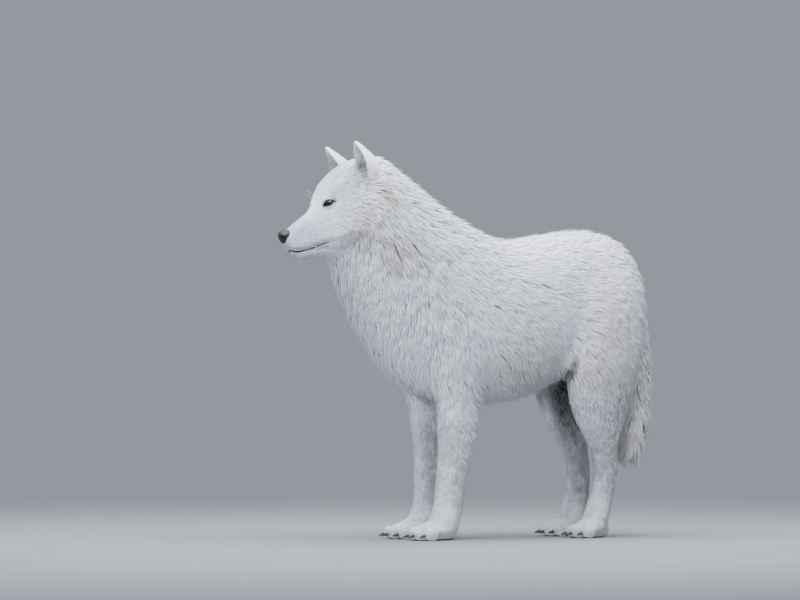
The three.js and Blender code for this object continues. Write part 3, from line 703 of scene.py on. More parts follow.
def unwrap(skin):
    """The bake's map, which the tufts' patches lie on too."""
    bpy.ops.object.select_all(action="DESELECT")
    bpy.context.view_layer.objects.active = skin
    skin.select_set(True)
    skin.data.uv_layers.new(name="OFBake")
    bpy.ops.object.mode_set(mode="EDIT")
    bpy.ops.mesh.select_all(action="SELECT")
    bpy.ops.uv.smart_project(angle_limit=math.radians(70), island_margin=0.002)
    bpy.ops.object.mode_set(mode="OBJECT")


def make_skin(material):
    """The skin, the surface of the tips, what the coat is like at each of the skin's vertices, what part of
    the body each is on, and the line of the lips on both sides."""
    mesh, solids, owners = cast_skin()
    refine_face(mesh)
    co, tri = biggest_island(*arrays(mesh))
    web = Web(tri, len(co))
    owner = owners[np.array([solids.find_nearest(p)[2] for p in co.tolist()])]
    group_of = np.array([GROUPS.get(n, n.rsplit("_", 1)[0]) for n in FLESH])[owner]
    outer = surface_of_tips(web, co, group_of)
    coat = lie_of_coat(web, outer, group_of)
    # the soles stand on the floor
    depth = coat[:, 3] * MM
    depth *= ramp(outer[:, 2], 0.0, 0.014)
    inner = sink(web, tri, outer, depth)
    # how many tufts the flesh needs to cover the wider surface of the tips
    wider = areas(outer, tri) / np.maximum(areas(inner, tri), 1e-9)
    wider = web.even(np.clip(wider, 1.0, 5.0), 8)
    # the tip of the tail is all hair
    tip, short = TAIL_TIP
    tail = (group_of == "tail") & (inner[:, 2] < tip)
    inner[tail, 2] = tip + (inner[tail, 2] - tip) * short
    normal = normals_of(inner, tri)
    surface = surface_of(inner, tri)
    lines = [lip_points(side, surface) for side in (-1, 1)]
    for side in (-1, 1):
        inner = sculpt_eye(inner, side)
    for points, _ in lines:
        sculpt_lips(inner, normal, points)
    inner[:, 2] = np.maximum(inner[:, 2], 0.0)
    made = thin_out(inner, tri, depth)
    same = nearest(inner, arrays(made)[0])
    made.update()
    made.polygons.foreach_set("use_smooth", np.ones(len(made.polygons), bool))
    skin = piece("skin", made, material, "coat", *FLESH)
    unwrap(skin)
    return skin, surface_of(outer, tri), np.c_[coat, wider][same], group_of[same], lines


def hollow(co, normal):
    """How far a place is in the hollow of an ear, away from its furred inner edge: 0 or up to 1."""
    out = np.zeros(len(co))
    for side in (-1, 1):
        t, off, away = on_ear(co, side)
        facing = (off * normal).sum(axis=1) / np.maximum(away, 1e-6)
        inside = ramp(-facing, 0.0, 0.5) * (away < EAR["reach"]) * ramp(t, -0.3, -0.05)
        inside *= ramp(off[:, 1] * side, -0.016, -0.002) * (1 - 0.6 * ramp(t, 0.55, 0.95))
        out = np.maximum(out, inside)
    return out


def ear_fringe(co, normal):
    """The inner edge of an ear's hollow, where its long hair grows."""
    out = np.zeros(len(co), bool)
    for side in (-1, 1):
        t, off, away = on_ear(co, side)
        facing = (off * normal).sum(axis=1) / np.maximum(away, 1e-6)
        inner_edge = off[:, 1] * side < -0.006
        out |= (away < EAR["reach"]) & (facing < -0.1) & inner_edge & (t > -0.1) & (t < 0.8)
    return out


def marks_and_painted_shade(co, normal):
    """The coat's colour at each point, from white through the soft spots, which are partly its own colour and
    partly painted shade, and with painted shade in each ear's hollow.
    """
    rgb = np.tile(np.array(WHITE), (len(co), 1))
    # painted shade in each ear's hollow, over the ear's own darker skin
    dark = 0.9 * hollow(co, normal)[:, None]
    rgb = rgb * (1 - dark) + np.array(EAR["inside"]) * dark
    for place, reach, colour, strength in MARKS_AND_PAINTED_SHADE:
        x, y, z = place
        on_head = z > 700 and x < -400
        for side in (-1, 1):
            middle = head(x, y * side, z) if on_head else put(x, y * side, z)
            d = (((co - middle) / (np.array(reach) * MM)) ** 2).sum(axis=1)
            share = strength * np.exp(-(d if strength < 0.8 else d ** 2))[:, None]
            rgb = rgb * (1 - share) + np.array(colour) * share
    return rgb


def colour_skin(skin):
    """The coat's colour spots and painted shade on the skin, with dark soles and dark skin round the eyes."""
    co, _ = arrays(skin.data)
    normal = read(skin.data.vertices, "normal", 3)
    rgb = marks_and_painted_shade(co, normal)
    rgb[(co[:, 2] < 0.003) & (normal[:, 2] < -0.85)] = SOLE_COLOUR
    for side in (-1, 1):
        x, y, h = seen_from_eye(co, side)
        rgb[(h > 0) & (almond(x, y) < EYE_DARK)] = RIM_COLOUR
    attribute_colour(skin.data, rgb)


# ---- materials ----------------------------------------------------------------------------

class Nodes:
    """A material being made."""

    def __init__(self, name, **values):
        self.material = bpy.data.materials.new(name)
        self.material.use_nodes = True
        self.tree = self.material.node_tree
        self.shader = next(n for n in self.tree.nodes if n.type == "BSDF_PRINCIPLED")
        for key, value in values.items():
            self.shader.inputs[key.replace("_", " ")].default_value = value

    def add(self, kind, inputs=None, **settings):
        node = self.tree.nodes.new("ShaderNode" + kind)
        for key, value in settings.items():
            setattr(node, key, value)
        for key, value in (inputs or {}).items():
            if isinstance(value, bpy.types.NodeSocket):
                self.tree.links.new(value, node.inputs[key])
            else:
                node.inputs[key].default_value = value
        return node

    def link(self, output, key):
        self.tree.links.new(output, self.shader.inputs[key])

    def ramp(self, fac, stops):
        node = self.add("ValToRGB", {"Fac": fac})
        elements = node.color_ramp.elements
        while len(elements) < len(stops):
            elements.new(0.5)
        for element, (at, colour) in zip(elements, stops):
            element.position = at
            element.color = (*colour, 1) if len(colour) == 3 else colour
        return node.outputs["Color"]

    def grey(self, fac, low, high, start=0.0, end=1.0):
        return self.ramp(fac, [(start, (low,) * 3), (end, (high,) * 3)])

    def times(self, a, b):
        """Two colours multiplied."""
        return self.add("Mix", {6: a, 7: b, 0: 1.0}, data_type="RGBA", blend_type="MULTIPLY").outputs[2]

    def bump(self, *layers):
        """Layers of (height, distance in metres, strength), the first one lowest."""
        last = None
        for height, distance, strength in layers:
            node = self.add("Bump", {"Height": height, "Distance": distance, "Strength": strength})
            if last:
                self.tree.links.new(last, node.inputs["Normal"])
            last = node.outputs["Normal"]
        self.link(last, "Normal")

    def place(self):
        return self.add("TexCoord").outputs["Object"]

    def noise(self, vector, scale, detail):
        return self.add("TexNoise", {"Vector": vector, "Scale": scale, "Detail": detail}).outputs["Fac"]

    def stretched(self, vector, *scale):
        return self.add("Mapping", {"Vector": vector, "Scale": scale}).outputs["Vector"]


def coat_material():
    """Hair: the tuft's own colour with fine strands along it."""
    m = Nodes("coat_hair", Roughness=0.62, Specular_IOR_Level=0.35, Sheen_Weight=0.25, Sheen_Roughness=0.6)
    colour = m.add("VertexColor", layer_name="Coat").outputs["Color"]
    strand = m.add("UVMap", uv_map="Strand").outputs["UV"]
    hairs = m.noise(m.stretched(strand, 5.0, 0.35, 1.0), 2.0, 3.0)
    cloud = m.noise(m.place(), 22.0, 3.0)
    shade = m.times(m.grey(hairs, 0.92, 1.0, 0.3, 0.62), m.grey(cloud, 0.96, 1.0, 0.3, 0.7))
    m.link(m.times(colour, shade), "Base Color")
    m.bump((hairs, 0.0008, 0.6))
    return m.material


def skin_material():
    """Skin under the coat with its own short down, in the same colours."""
    m = Nodes("coat_skin", Roughness=0.8, Specular_IOR_Level=0.2, Sheen_Weight=0.2, Sheen_Roughness=0.7)
    colour = m.add("VertexColor", layer_name="Coat").outputs["Color"]
    down = m.noise(m.place(), 600.0, 3.0)
    cloud = m.noise(m.place(), 40.0, 2.0)
    shade = m.times(m.grey(down, 0.88, 1.0, 0.3, 0.7), m.grey(cloud, 0.95, 1.0, 0.3, 0.7))
    m.link(m.times(colour, shade), "Base Color")
    m.bump((cloud, 0.002, 0.3), (down, 0.0012, 0.7))
    return m.material


def leather_material(name, colour, rough, grain, gloss):
    """Bare dark skin in small cells."""
    m = Nodes(name, Specular_IOR_Level=0.5, Coat_Weight=gloss, Coat_Roughness=0.25)
    cells = m.add("TexVoronoi", {"Vector": m.place(), "Scale": grain}, feature="DISTANCE_TO_EDGE")
    cells = cells.outputs["Distance"]
    fine = m.noise(m.place(), grain * 3, 4.0)
    soft = m.noise(m.place(), 90.0, 2.0)
    dark = tuple(c * 0.55 for c in colour)
    base = m.ramp(soft, [(0.3, dark), (0.7, colour)])
    m.link(m.times(base, m.grey(cells, 0.6, 1.0, 0.0, 0.12)), "Base Color")
    m.link(m.grey(soft, rough * 0.75, rough * 1.15, 0.3, 0.7), "Roughness")
    m.bump((m.grey(cells, 0.0, 1.0, 0.0, 0.25), 0.0006, 0.7), (fine, 0.0002, 0.4))
    return m.material


def eye_material():
    """The eye by the angle from the way it looks: pupil, iris with its spokes, dark edge and dark white."""
    m = Nodes("eye_ball", Roughness=0.2, Coat_Weight=0.12, Coat_Roughness=0.03, Specular_IOR_Level=0.2)
    off = m.add("Attribute", attribute_name="Off").outputs["Fac"]
    spokes = m.add("UVMap", uv_map="Spokes").outputs["UV"]
    streak = m.noise(m.stretched(spokes, 26.0, 1.2, 1.0), 3.0, 3.0)
    m.link(m.times(m.ramp(off, EYE_COLOURS), m.grey(streak, 0.55, 1.0, 0.3, 0.7)), "Base Color")
    m.bump((streak, 0.0001, 0.2))
    return m.material


def horn_material():
    """Dark horn with its grain along the claw."""
    m = Nodes("claw_horn", Specular_IOR_Level=0.5)
    grain = m.noise(m.stretched(m.place(), 60.0, 900.0, 900.0), 1.0, 3.0)
    m.link(m.ramp(grain, [(0.3, (0.030, 0.026, 0.024)), (0.7, (0.085, 0.072, 0.062))]), "Base Color")
    m.link(m.grey(grain, 0.32, 0.5, 0.3, 0.7), "Roughness")
    m.bump((grain, 0.0002, 0.5))
    return m.material


# ---- tufts as solids ----------------------------------------------------------------------

def snap(tree, points):
    """The nearest places on a surface, and the way out of it there."""
    near = tree.find_nearest
    found = [near(p)[:2] for p in points.tolist()]
    flat = np.array([(*p, *n) for p, n in found])
    return flat[:, :3], flat[:, 3:]


def scatter(co, tri, spacing, count):
    """Places all over a mesh, closer where the spacing is smaller: their faces and shares of the corners."""
    a, b, c = co[tri[:, 0]], co[tri[:, 1]], co[tri[:, 2]]
    area = np.linalg.norm(np.cross(b - a, c - a), axis=1) / 2
    weight = area / spacing[tri].mean(axis=1) ** 2
    weight *= count / weight.sum()
    total = np.cumsum(weight)
    marks = np.arange(int(total[-1])) + rng.random(int(total[-1]))
    face = np.minimum(np.searchsorted(total, marks), len(tri) - 1)
    r1, r2 = np.sqrt(rng.random(len(face))), rng.random(len(face))
    return face, np.c_[1 - r1, r1 * (1 - r2), r1 * r2]


def spread(values, tri, face, share):
    """The vertices' values at scattered places."""
    return (values[tri[face]] * share.reshape(share.shape + (1,) * (values.ndim - 1))).sum(axis=1)


def blades(path, normal, width, high, shape):
    """Closed three-sided blades along these paths: the rings, then the point."""
    count, steps = path.shape[:2]
    way = np.gradient(path, axis=1)
    side = unit(np.cross(way, normal))
    out = unit(np.cross(side, way))
    w = width[:, None] * np.array(shape)[None, :]
    left = path + side * (w / 2)[..., None]
    right = path - side * (w / 2)[..., None]
    ridge = path + out * (w * high[:, None])[..., None]
    rings = np.stack([left[:, :-1], right[:, :-1], ridge[:, :-1]], axis=2)
    co = np.concatenate([rings.reshape(count, -1, 3), path[:, -1:]], axis=1)
    faces = [(0, 1, 2)]
    for k in range(steps - 2):
        for i, j in ((0, 1), (1, 2), (2, 0)):
            a, b, c, d = 3 * k + i, 3 * k + j, 3 * k + 3 + j, 3 * k + 3 + i
            faces += [(a, d, c), (a, c, b)]
    last, tip = 3 * (steps - 2), 3 * (steps - 1)
    for i, j in ((0, 1), (1, 2), (2, 0)):
        faces.append((last + i, tip, last + j))
    faces = outwards(co[0], np.array(faces))
    along = np.r_[np.repeat(np.arange(steps - 1) / (steps - 1), 3), 1.0]
    across = np.r_[np.tile([0.0, 1.0, 0.5], steps - 1), 0.5]
    return co, faces, along, across


def soften(co, faces, normal, soft):
    """Corner normals part of the way from the blades' own to the body's, as hair scatters light, but never
    turned away from the face that they are on."""
    a, b, c = (co[:, faces[:, k]] for k in range(3))
    face = np.cross(b - a, c - a)
    own = np.zeros_like(co)
    for k in range(3):
        for i, vertex in enumerate(faces[:, k]):
            own[:, vertex] += face[:, i]
    body = np.concatenate([np.repeat(normal[:, :-1], 3, axis=1), normal[:, -1:]], axis=1)
    blend = unit(own) * (1 - soft) + body * soft
    face = unit(face)[:, :, None, :]
    corner = unit(blend[:, faces])
    short = 0.2 - (corner * face).sum(axis=3, keepdims=True)
    return unit(corner + face * np.maximum(short, 0)).reshape(-1, 3)


def coat_pieces(name, path, normal, width, high, soft, shape, rgb, place, material):
    """The tufts of one region as pieces small enough to keep."""
    co, faces, along, across = blades(path, normal, width, high, shape)
    length = np.linalg.norm(np.diff(path, axis=1), axis=2).sum(axis=1)
    # painted shade: each tuft a little darker at its root, deep in the coat
    shade = 0.95 + 0.05 * ramp(along, 0.0, 0.6)
    offset = np.c_[across - 0.5, along - 0.5] * PATCH
    chunks = np.array_split(np.arange(len(co)), math.ceil(len(co) * len(faces) / PIECE_FACES))
    for number, chosen in enumerate(chunks, 1):
        n = len(chosen)
        tri = (faces[None] + (np.arange(n) * co.shape[1])[:, None, None]).reshape(-1, 3)
        mesh = mesh_of(name, co[chosen].reshape(-1, 3), tri)
        colour = rgb[chosen][:, None, :] * shade[None, :, None]
        attribute_colour(mesh, colour.reshape(-1, 3))
        bake = (place[chosen][:, None, :] + offset[None]).reshape(-1, 2)
        aside = across[None, :] + rng.random(n)[:, None] * 40
        ahead = along[None, :] * length[chosen][:, None] * 60 + rng.random(n)[:, None] * 9
        strand = np.stack([aside, ahead], axis=2).reshape(-1, 2)
        mesh.normals_split_custom_set(soften(co[chosen], faces, normal[chosen], soft).tolist())
        add_uv(mesh, "OFBake", bake[tri.ravel()])
        add_uv(mesh, "Strand", strand[tri.ravel()])
        piece(f"{name}_{number}", mesh, material, "coat")


# ---- eyes, nose, lips and claws -----------------------------------------------------------

def globe(rings, sides):
    """A ball of quads and triangles as unit directions, its axis along +X."""
    co = [(1.0, 0.0, 0.0)]
    for i in range(1, rings):
        a = math.pi * i / rings
        for k in range(sides):
            b = 2 * math.pi * k / sides
            co.append((math.cos(a), math.sin(a) * math.cos(b), math.sin(a) * math.sin(b)))
    co.append((-1.0, 0.0, 0.0))
    at = lambda i, k: 1 + (i - 1) * sides + k % sides
    tri = []
    for k in range(sides):
        tri.append((0, at(1, k), at(1, k + 1)))
        tri.append((len(co) - 1, at(rings - 1, k + 1), at(rings - 1, k)))
        for i in range(1, rings - 1):
            tri += [(at(i, k), at(i + 1, k), at(i + 1, k + 1)), (at(i, k), at(i + 1, k + 1), at(i, k + 1))]
    return np.array(co), np.array(tri)


def band(rings):
    """A closed tube through these loops of points, the last one joined to the first."""
    rings = np.array(rings)
    n, sides = rings.shape[:2]
    faces = []
    for i in range(n):
        for k in range(sides):
            j, m = (i + 1) % n, (k + 1) % sides
            faces.append((i * sides + k, i * sides + m, j * sides + m, j * sides + k))
    return rings.reshape(-1, 3), np.array(faces)


def tube(points, radii, ways, sides=8):
    """A closed tube along points, flattened against the way out, with a point at each end."""
    points, ways = np.array(points), np.array(ways)
    along = unit(np.gradient(points, axis=0))
    side = unit(np.cross(along, ways))
    out = unit(np.cross(side, along))
    co, faces = [points[0]], []
    for p, s, o, (wide, high) in zip(points[1:-1], side[1:-1], out[1:-1], radii[1:-1]):
        for k in range(sides):
            a = 2 * math.pi * k / sides
            co.append(p + s * math.cos(a) * wide + o * math.sin(a) * high)
    co.append(points[-1])
    rows = len(points) - 2
    at = lambda i, k: 1 + i * sides + k % sides
    for k in range(sides):
        faces.append((0, at(0, k + 1), at(0, k)))
        faces.append((len(co) - 1, at(rows - 1, k), at(rows - 1, k + 1)))
        for i in range(rows - 1):
            faces += [(at(i, k), at(i, k + 1), at(i + 1, k + 1)), (at(i, k), at(i + 1, k + 1), at(i + 1, k))]
    return np.array(co), np.array(faces)


def outwards(co, faces):
    """The faces, turned over if they point into the solid."""
    a, b, c = co[faces[:, 0]], co[faces[:, 1]], co[faces[:, 2]]
    volume = (a * np.cross(b, c)).sum()
    if faces.shape[1] == 4:
        d = co[faces[:, 3]]
        volume += (a * np.cross(c, d)).sum()
    return faces if volume > 0 else faces[:, ::-1]


def joined(parts):
    """Several solids as one set of vertices and faces."""
    co, faces, offset = [], [], 0
    for c, f in parts:
        co.append(c)
        faces.append(outwards(c, f) + offset)
        offset += len(c)
    return np.concatenate(co), np.concatenate(faces)


def eyeball(name, side, material):
    """A ball with a bulging cornea. Its material reads how far off the way that it looks each place is."""
    middle, along, up, out = eye_frame(side)
    ball, tri = globe(40, 48)
    cornea = 1 + 0.055 * ramp(ball[:, 0], 0.86, 0.97)
    co = middle + (ball * cornea[:, None] * EYE["ball"] * MM) @ np.array([out, along, up])
    mesh = mesh_of("eye", co, outwards(co, tri))
    off = np.arccos(np.clip(ball[:, 0], -1, 1))
    layer = mesh.attributes.new("Off", "FLOAT", "POINT")
    layer.data.foreach_set("value", off.astype(np.float32))
    turn = np.abs(np.arctan2(ball[:, 2], ball[:, 1])) / math.pi
    corners = read(mesh.loops, "vertex_index", 1, np.int32).ravel()
    add_uv(mesh, "Spokes", np.c_[turn, off][corners])
    piece(f"eyeball_{name}", mesh, material, "eye", f"eye_{name}")


def lifted(flat, h, middle, out, tree):
    """These heights over an eye's middle plane, raised to the skin where it is higher, and evened out."""
    hits = [tree.ray_cast(Vector(q + out * 0.03), Vector(-out))[0] for q in flat]
    on = [(np.array(hit) - middle) @ out * TO_MM if hit is not None else 0 for hit in hits]
    h = np.maximum(h, on)
    for _ in range(3):
        h = (np.roll(h, 1) + 2 * h + np.roll(h, -1)) / 4
    return h


def eyelids(name, side, tree, material):
    """A closed tube round the eye's opening, on the ball inside and on the skin outside."""
    middle, along, up, out = eye_frame(side)
    a = np.linspace(0, 2 * math.pi, 56, endpoint=False)
    inner, rear = np.maximum(0, -np.cos(a)) ** 8, np.maximum(0, np.cos(a)) ** 8
    rings = []
    for scale, lift in LIDS:
        x = EYE["half"] * np.cos(a) * scale
        y = np.where(np.sin(a) > 0, EYE["above"], EYE["below"]) * np.sin(a) * scale
        x, y = x - 2.4 * inner + 2.0 * rear, y - 1.4 * inner
        h = np.sqrt(np.maximum(EYE["ball"] ** 2 - x * x - y * y, 12.0))
        flat = middle + (x[:, None] * along + y[:, None] * up) * MM
        if scale > 1 and lift > -2:
            h = lifted(flat, h, middle, out, tree)
        rings.append(flat + (h + lift)[:, None] * out * MM)
    co, faces = band(rings)
    piece(f"eyelids_{name}", mesh_of("lids", co, outwards(co, faces)), material, "nose")


def eyes(skin, ball_look, lid_look):
    tree = surface_of(*arrays(skin.data))
    for name, side in SIDES.items():
        eyeball(name, side, ball_look)
        eyelids(name, side, tree, lid_look)


def nose(material):
    """The bare nose: a blunt pad with a groove down its middle and two comma-shaped nostrils."""
    ball, tri = globe(72, 96)
    ball = ball * np.array([-1, 1, 1])
    x, y, z = ball.T
    hx, hy, hz = NOSE["half"]
    front = ramp(-x, 0.2, 0.95)
    px = x * hx * (1 - 0.08 * front)
    py = y * hy * (1 - 0.10 * ramp(-z, 0.1, 0.9))
    low = ramp(-z, 0.2, 1.0) * ramp(-x, -0.3, 0.5)
    pz = z * hz + 0.8 * front - 4.0 * low
    py = py * (1 - 0.22 * low)
    groove = np.exp(-(py / 1.3) ** 2) * ramp(-x, 0.1, 0.5) * ramp(3 - pz, 0, 6)
    px = px + 1.6 * groove
    for side in (-1, 1):
        dy, dz = (py * side - 8.6), (pz + 0.5)
        hole = np.exp(-(dy / 3.6) ** 2 - (dz / 3.2) ** 2) * ramp(-x, 0.0, 0.3)
        slit = np.exp(-((py * side - 14.0) / 4.2) ** 2 - ((pz + 3.6) / 1.3) ** 2) * ramp(-x, -0.35, 0.2)
        wing = np.exp(-((py * side - 12.5) / 3.0) ** 2 - ((pz - 4.0) / 2.6) ** 2) * ramp(-x, 0.0, 0.4)
        px = px + 6.5 * hole + 1.6 * slit - 1.0 * wing
        py = py - side * (1.2 * hole + 2.6 * slit - 0.6 * wing)
    tilt = math.radians(NOSE["tilt"])
    qx = px * math.cos(tilt) + pz * math.sin(tilt)
    qz = -px * math.sin(tilt) + pz * math.cos(tilt)
    nx, ny, nz = NOSE["at"]
    co = np.array([head(nx + a, ny + b, nz + c) for a, b, c in zip(qx, py, qz)])
    piece("nose_pad", mesh_of("nose", co, outwards(co, tri)), material, "nose", "nose")


def lips(lines, material):
    """The dark line where the lips meet, sunk a little into its groove."""
    radii = [(half * MM, LIPS_HIGH) for *_, half in LIPS]
    parts = [tube(points - ways * LIPS_SUNK, radii, ways) for points, ways in lines]
    co, faces = joined(parts)
    piece("lips", mesh_of("lips", co, faces), material, "nose")


def claw(low, high):
    """A claw in this box, from its thick root at the rear to its point."""
    middle = (low + high) / 2
    long = high[0] - low[0]
    points, radii = [], []
    for i in range(CLAW["steps"]):
        t = i / (CLAW["steps"] - 1)
        z = middle[2] + CLAW["rise"] - CLAW["drop"] * t * t
        size = CLAW["size"] * (1 - t ** 2.0) ** 0.55
        points.append((high[0] - t * long, middle[1], max(z, size * 1.05 + OVER_FLOOR)))
        radii.append((size * CLAW["slim"], size))
    return tube(points, radii, [(0, 0, 1)] * CLAW["steps"], 12)


def claws(material):
    for foot in ("forefoot", "hindfoot"):
        for side in SIDES:
            for number in (1, 2, 3, 4):
                node = f"claw_{foot}_{side}_{number}"
                co, faces = claw(*(np.array(corner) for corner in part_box(node)))
                mesh = mesh_of("claw", co, outwards(co, faces))
                piece(f"horn_{foot}_{side}_{number}", mesh, material, "claw", node)


# ---- the coat's tufts ---------------------------------------------------------------------

class Tufts:
    """What is known of the tufts: under each name, one value or vector for each tuft."""

    def __init__(self, **values):
        vars(self).update(values)

    def pick(self, chosen):
        for name, value in vars(self).items():
            setattr(self, name, value[chosen])

    def by_lock(self, size=1):
        """A random number for each lock, which all its tufts share."""
        return rng.normal(0, size, len(self.root))[self.leader]

    def by_tuft(self, size=1):
        """A random number for each tuft."""
        return rng.normal(0, size, len(self.root))


def sow(mesh, coat, group_of):
    """Tufts all over the skin, each with the coat's lie and sizes at its root."""
    co, tri = arrays(mesh)
    loops = read(mesh.loop_triangles, "loops", 3, np.int32)
    uv = read(mesh.uv_layers["OFBake"].data, "uv", 2)
    width = coat[:, 5] * MM
    face, share = scatter(co, tri, (0.8 * width + MM) / np.sqrt(coat[:, 7]), TUFTS)
    depth, length, wide, lock = (spread(coat[:, k], tri, face, share) for k in (3, 4, 5, 6))
    group = group_of[tri[face, 0]]
    root = spread(co, tri, face, share)
    legs = np.isin(group, ("foreleg", "hindleg", "forefoot", "hindfoot"))
    return Tufts(
        root=root,
        way=spread(coat[:, :3], tri, face, share),
        up=unit(spread(normals_of(co, tri), tri, face, share)),
        depth=depth * MM,
        length=length * MM,
        wide=wide * MM,
        lock=lock,
        place=(uv[loops[face]] * share[..., None]).sum(axis=1),
        group=group,
        trunk=group == "torso",
        brush=group == "tail",
        legs=legs * ramp(-root[:, 2], -0.44, -0.26),
    )


def part_at_eyes(tufts):
    """Hair parts round an eye and never lies over it. Gives how far off the nearer eye each root is, in
    openings of that eye."""
    near_eye = np.full(len(tufts.root), 9.0)
    for side in (-1, 1):
        _, along, upward, _ = eye_frame(side)
        x, y, h = seen_from_eye(tufts.root, side)
        rho = np.where(h > 0, almond(x, y), 9.0)
        near_eye = np.minimum(near_eye, rho)
        away = unit(x[:, None] * along + y[:, None] * upward)
        toward_eye = np.minimum((unit(tufts.way) * away).sum(axis=1), 0) * ramp(-rho, -2.8, -1.6)
        tufts.way -= away * (toward_eye - 0.12 * ramp(-rho, -2.2, -1.4))[:, None]
    return near_eye


def part_at_lips(tufts, lines):
    """Hair turns aside from the line of the lips. Gives how far off that line each root is."""
    near_lips = np.full(len(tufts.root), 1.0)
    for points, _ in lines:
        close = np.flatnonzero(np.linalg.norm(tufts.root - points.mean(axis=0), axis=1) < LIPS_NEAR)
        d, _, to = toward(tufts.root[close], points)
        near_lips[close] = np.minimum(near_lips[close], d)
        across = np.maximum((unit(tufts.way[close]) * unit(to)).sum(axis=1), 0) * ramp(-d, -0.011, -0.004)
        tufts.way[close] -= unit(to) * (1.1 * across)[:, None]
    return near_lips


def clear_bare_places(tufts, lines):
    """No tufts on the soles, the eyes, the nose and the line of the lips, and small ones beside them."""
    tufts.near_eye = part_at_eyes(tufts)
    tufts.near_lips = part_at_lips(tufts, lines)
    sole = (tufts.root[:, 2] < 0.010) & (tufts.up[:, 2] < -0.5)
    off_nose = np.linalg.norm((tufts.root - head(*NOSE["at"])) / np.array(NOSE["clear"]), axis=1)
    tufts.pick(~sole & (tufts.near_eye > EYE_CLEAR) & (off_nose > 1.0) & (tufts.near_lips > LIPS_CLEAR))
    small = np.minimum(ramp(tufts.near_eye, 1.0, 3.0), ramp(tufts.near_lips, 0.0, 0.012))
    tufts.length *= 0.45 + 0.55 * small
    tufts.wide *= 0.75 + 0.25 * small


def vary(tufts):
    """Locks, and the turn, length, height and width of the tufts in them."""
    up, lock, trunk, legs = tufts.up, tufts.lock, tufts.trunk, tufts.legs
    count = len(tufts.root)
    slim = np.where(trunk | tufts.brush, 0, np.where(legs > 0, legs, 1.0))
    tufts.wide *= 1.15 - 0.15 * slim
    leader = np.flatnonzero(rng.random(count) < 0.10 - 0.055 * legs)
    tufts.leader = leader[nearest(tufts.root[leader], tufts.root)]
    yaw = np.radians(tufts.by_lock(11)) * (0.5 + lock) + np.radians(tufts.by_tuft(5))
    flat = unit(tufts.way - up * (tufts.way * up).sum(axis=1, keepdims=True))
    aside = np.cross(up, flat)
    tufts.flat = unit(flat * np.cos(yaw)[:, None] + aside * np.sin(yaw)[:, None])
    tufts.length *= (1 + 0.20 * lock * tufts.by_lock()).clip(0.7, 1.35)
    tufts.length *= (1 + 0.12 * tufts.by_tuft()).clip(0.6, 1.3)
    share = np.where(trunk | (legs > 0), 0.6 + 0.7 * legs, 1.3)
    rise = 0.91 + share * (0.15 * lock * tufts.by_lock() + 0.06 * tufts.by_tuft())
    tufts.rise = rise.clip(0.5, 1.08)
    # some hairs stand off the coat and break its outline
    stands = rng.random(count) < np.where(tufts.brush, 0.7, 0.26)
    tufts.lift = np.where(stands, rng.uniform(0.06, 0.34, count), 0) * (0.5 + lock)
    tufts.wide *= np.where(tufts.lift > 0, 0.75, 1.0)


def set_free(tufts):
    """Hairs that run free of the coat: in the ears, and the whiskers and the long hairs of the brow."""
    root, count = tufts.root, len(tufts.root)
    tufts.free = ear_fringe(root, tufts.up) & (tufts.group == "ear") & (rng.random(count) < 0.16)
    across = np.c_[np.full(count, -0.30), np.sign(root[:, 1]) * 0.62, np.full(count, 0.72)]
    across = across + rng.normal(0, 0.10, (count, 3))
    tufts.flat = np.where(tufts.free[:, None], unit(across), tufts.flat)
    tufts.length = np.where(tufts.free, rng.uniform(0.008, 0.016, count), tufts.length)
    for x, y, z, dx, dy, dz, long in WHISKERS:
        for side in (-1, 1):
            i = np.linalg.norm(root - head(x, y * side, z), axis=1).argmin()
            tufts.free[i], tufts.length[i], tufts.wide[i] = True, long * MM, HAIR_WIDTH
            tufts.flat[i] = turned((dx, dy * side, dz))


def hang_brush(tufts):
    """The hair at the end of the tail hangs down."""
    count = len(tufts.root)
    tufts.hanging = tufts.brush & (tufts.root[:, 2] < BRUSH_END)
    hang = np.array([-0.02, 0, -1.0]) + tufts.up * np.array([0.42, 0.30, 0])
    hang = unit(hang + rng.normal(0, 0.11, (count, 3)))
    tufts.flat = np.where(tufts.hanging[:, None], hang, tufts.flat)
    length = tufts.length.clip(0.035, 0.055) * rng.uniform(0.7, 1.25, count)
    tufts.length = np.where(tufts.hanging, length, tufts.length)


def lay(tufts, tips):
    """The tufts' paths from root to tip over the surface of the tips, and the way out at each step."""
    root, up, depth, length = tufts.root, tufts.up, tufts.depth, tufts.length
    straight = (tufts.free | tufts.hanging)[:, None]
    beside_eye = 1 - ramp(tufts.near_eye, 1.7, 2.6)
    path, ways_out = [root], [up]
    here, heading = root, tufts.flat
    for before, now in zip(TIMES[:-1], TIMES[1:]):
        free = here + heading * (length * (now - before))[:, None]
        on, out = snap(tips, free)
        below = depth * (1 - tufts.rise * now ** 0.75)
        laid = on - out * (below - tufts.lift * length * max(0.0, now - TIMES[1]))[:, None]
        loose = np.where(tufts.hanging, 0.85, np.where(tufts.brush, 0.5, 0.2) * (now == 1.0))
        loose = np.where(tufts.free, 1.0, loose)[:, None]
        here = laid + (free - laid) * loose
        tangent = root + tufts.flat * (length * now)[:, None] + up * (0.3 * depth * now)[:, None]
        here = here + (tangent - here) * beside_eye[:, None]
        along = unit(heading - out * (heading * out).sum(axis=1, keepdims=True))
        heading = np.where(straight, heading, along)
        path.append(here)
        ways_out.append(np.where(straight, up, out))
    return np.stack(path, axis=1), np.stack(ways_out, axis=1)


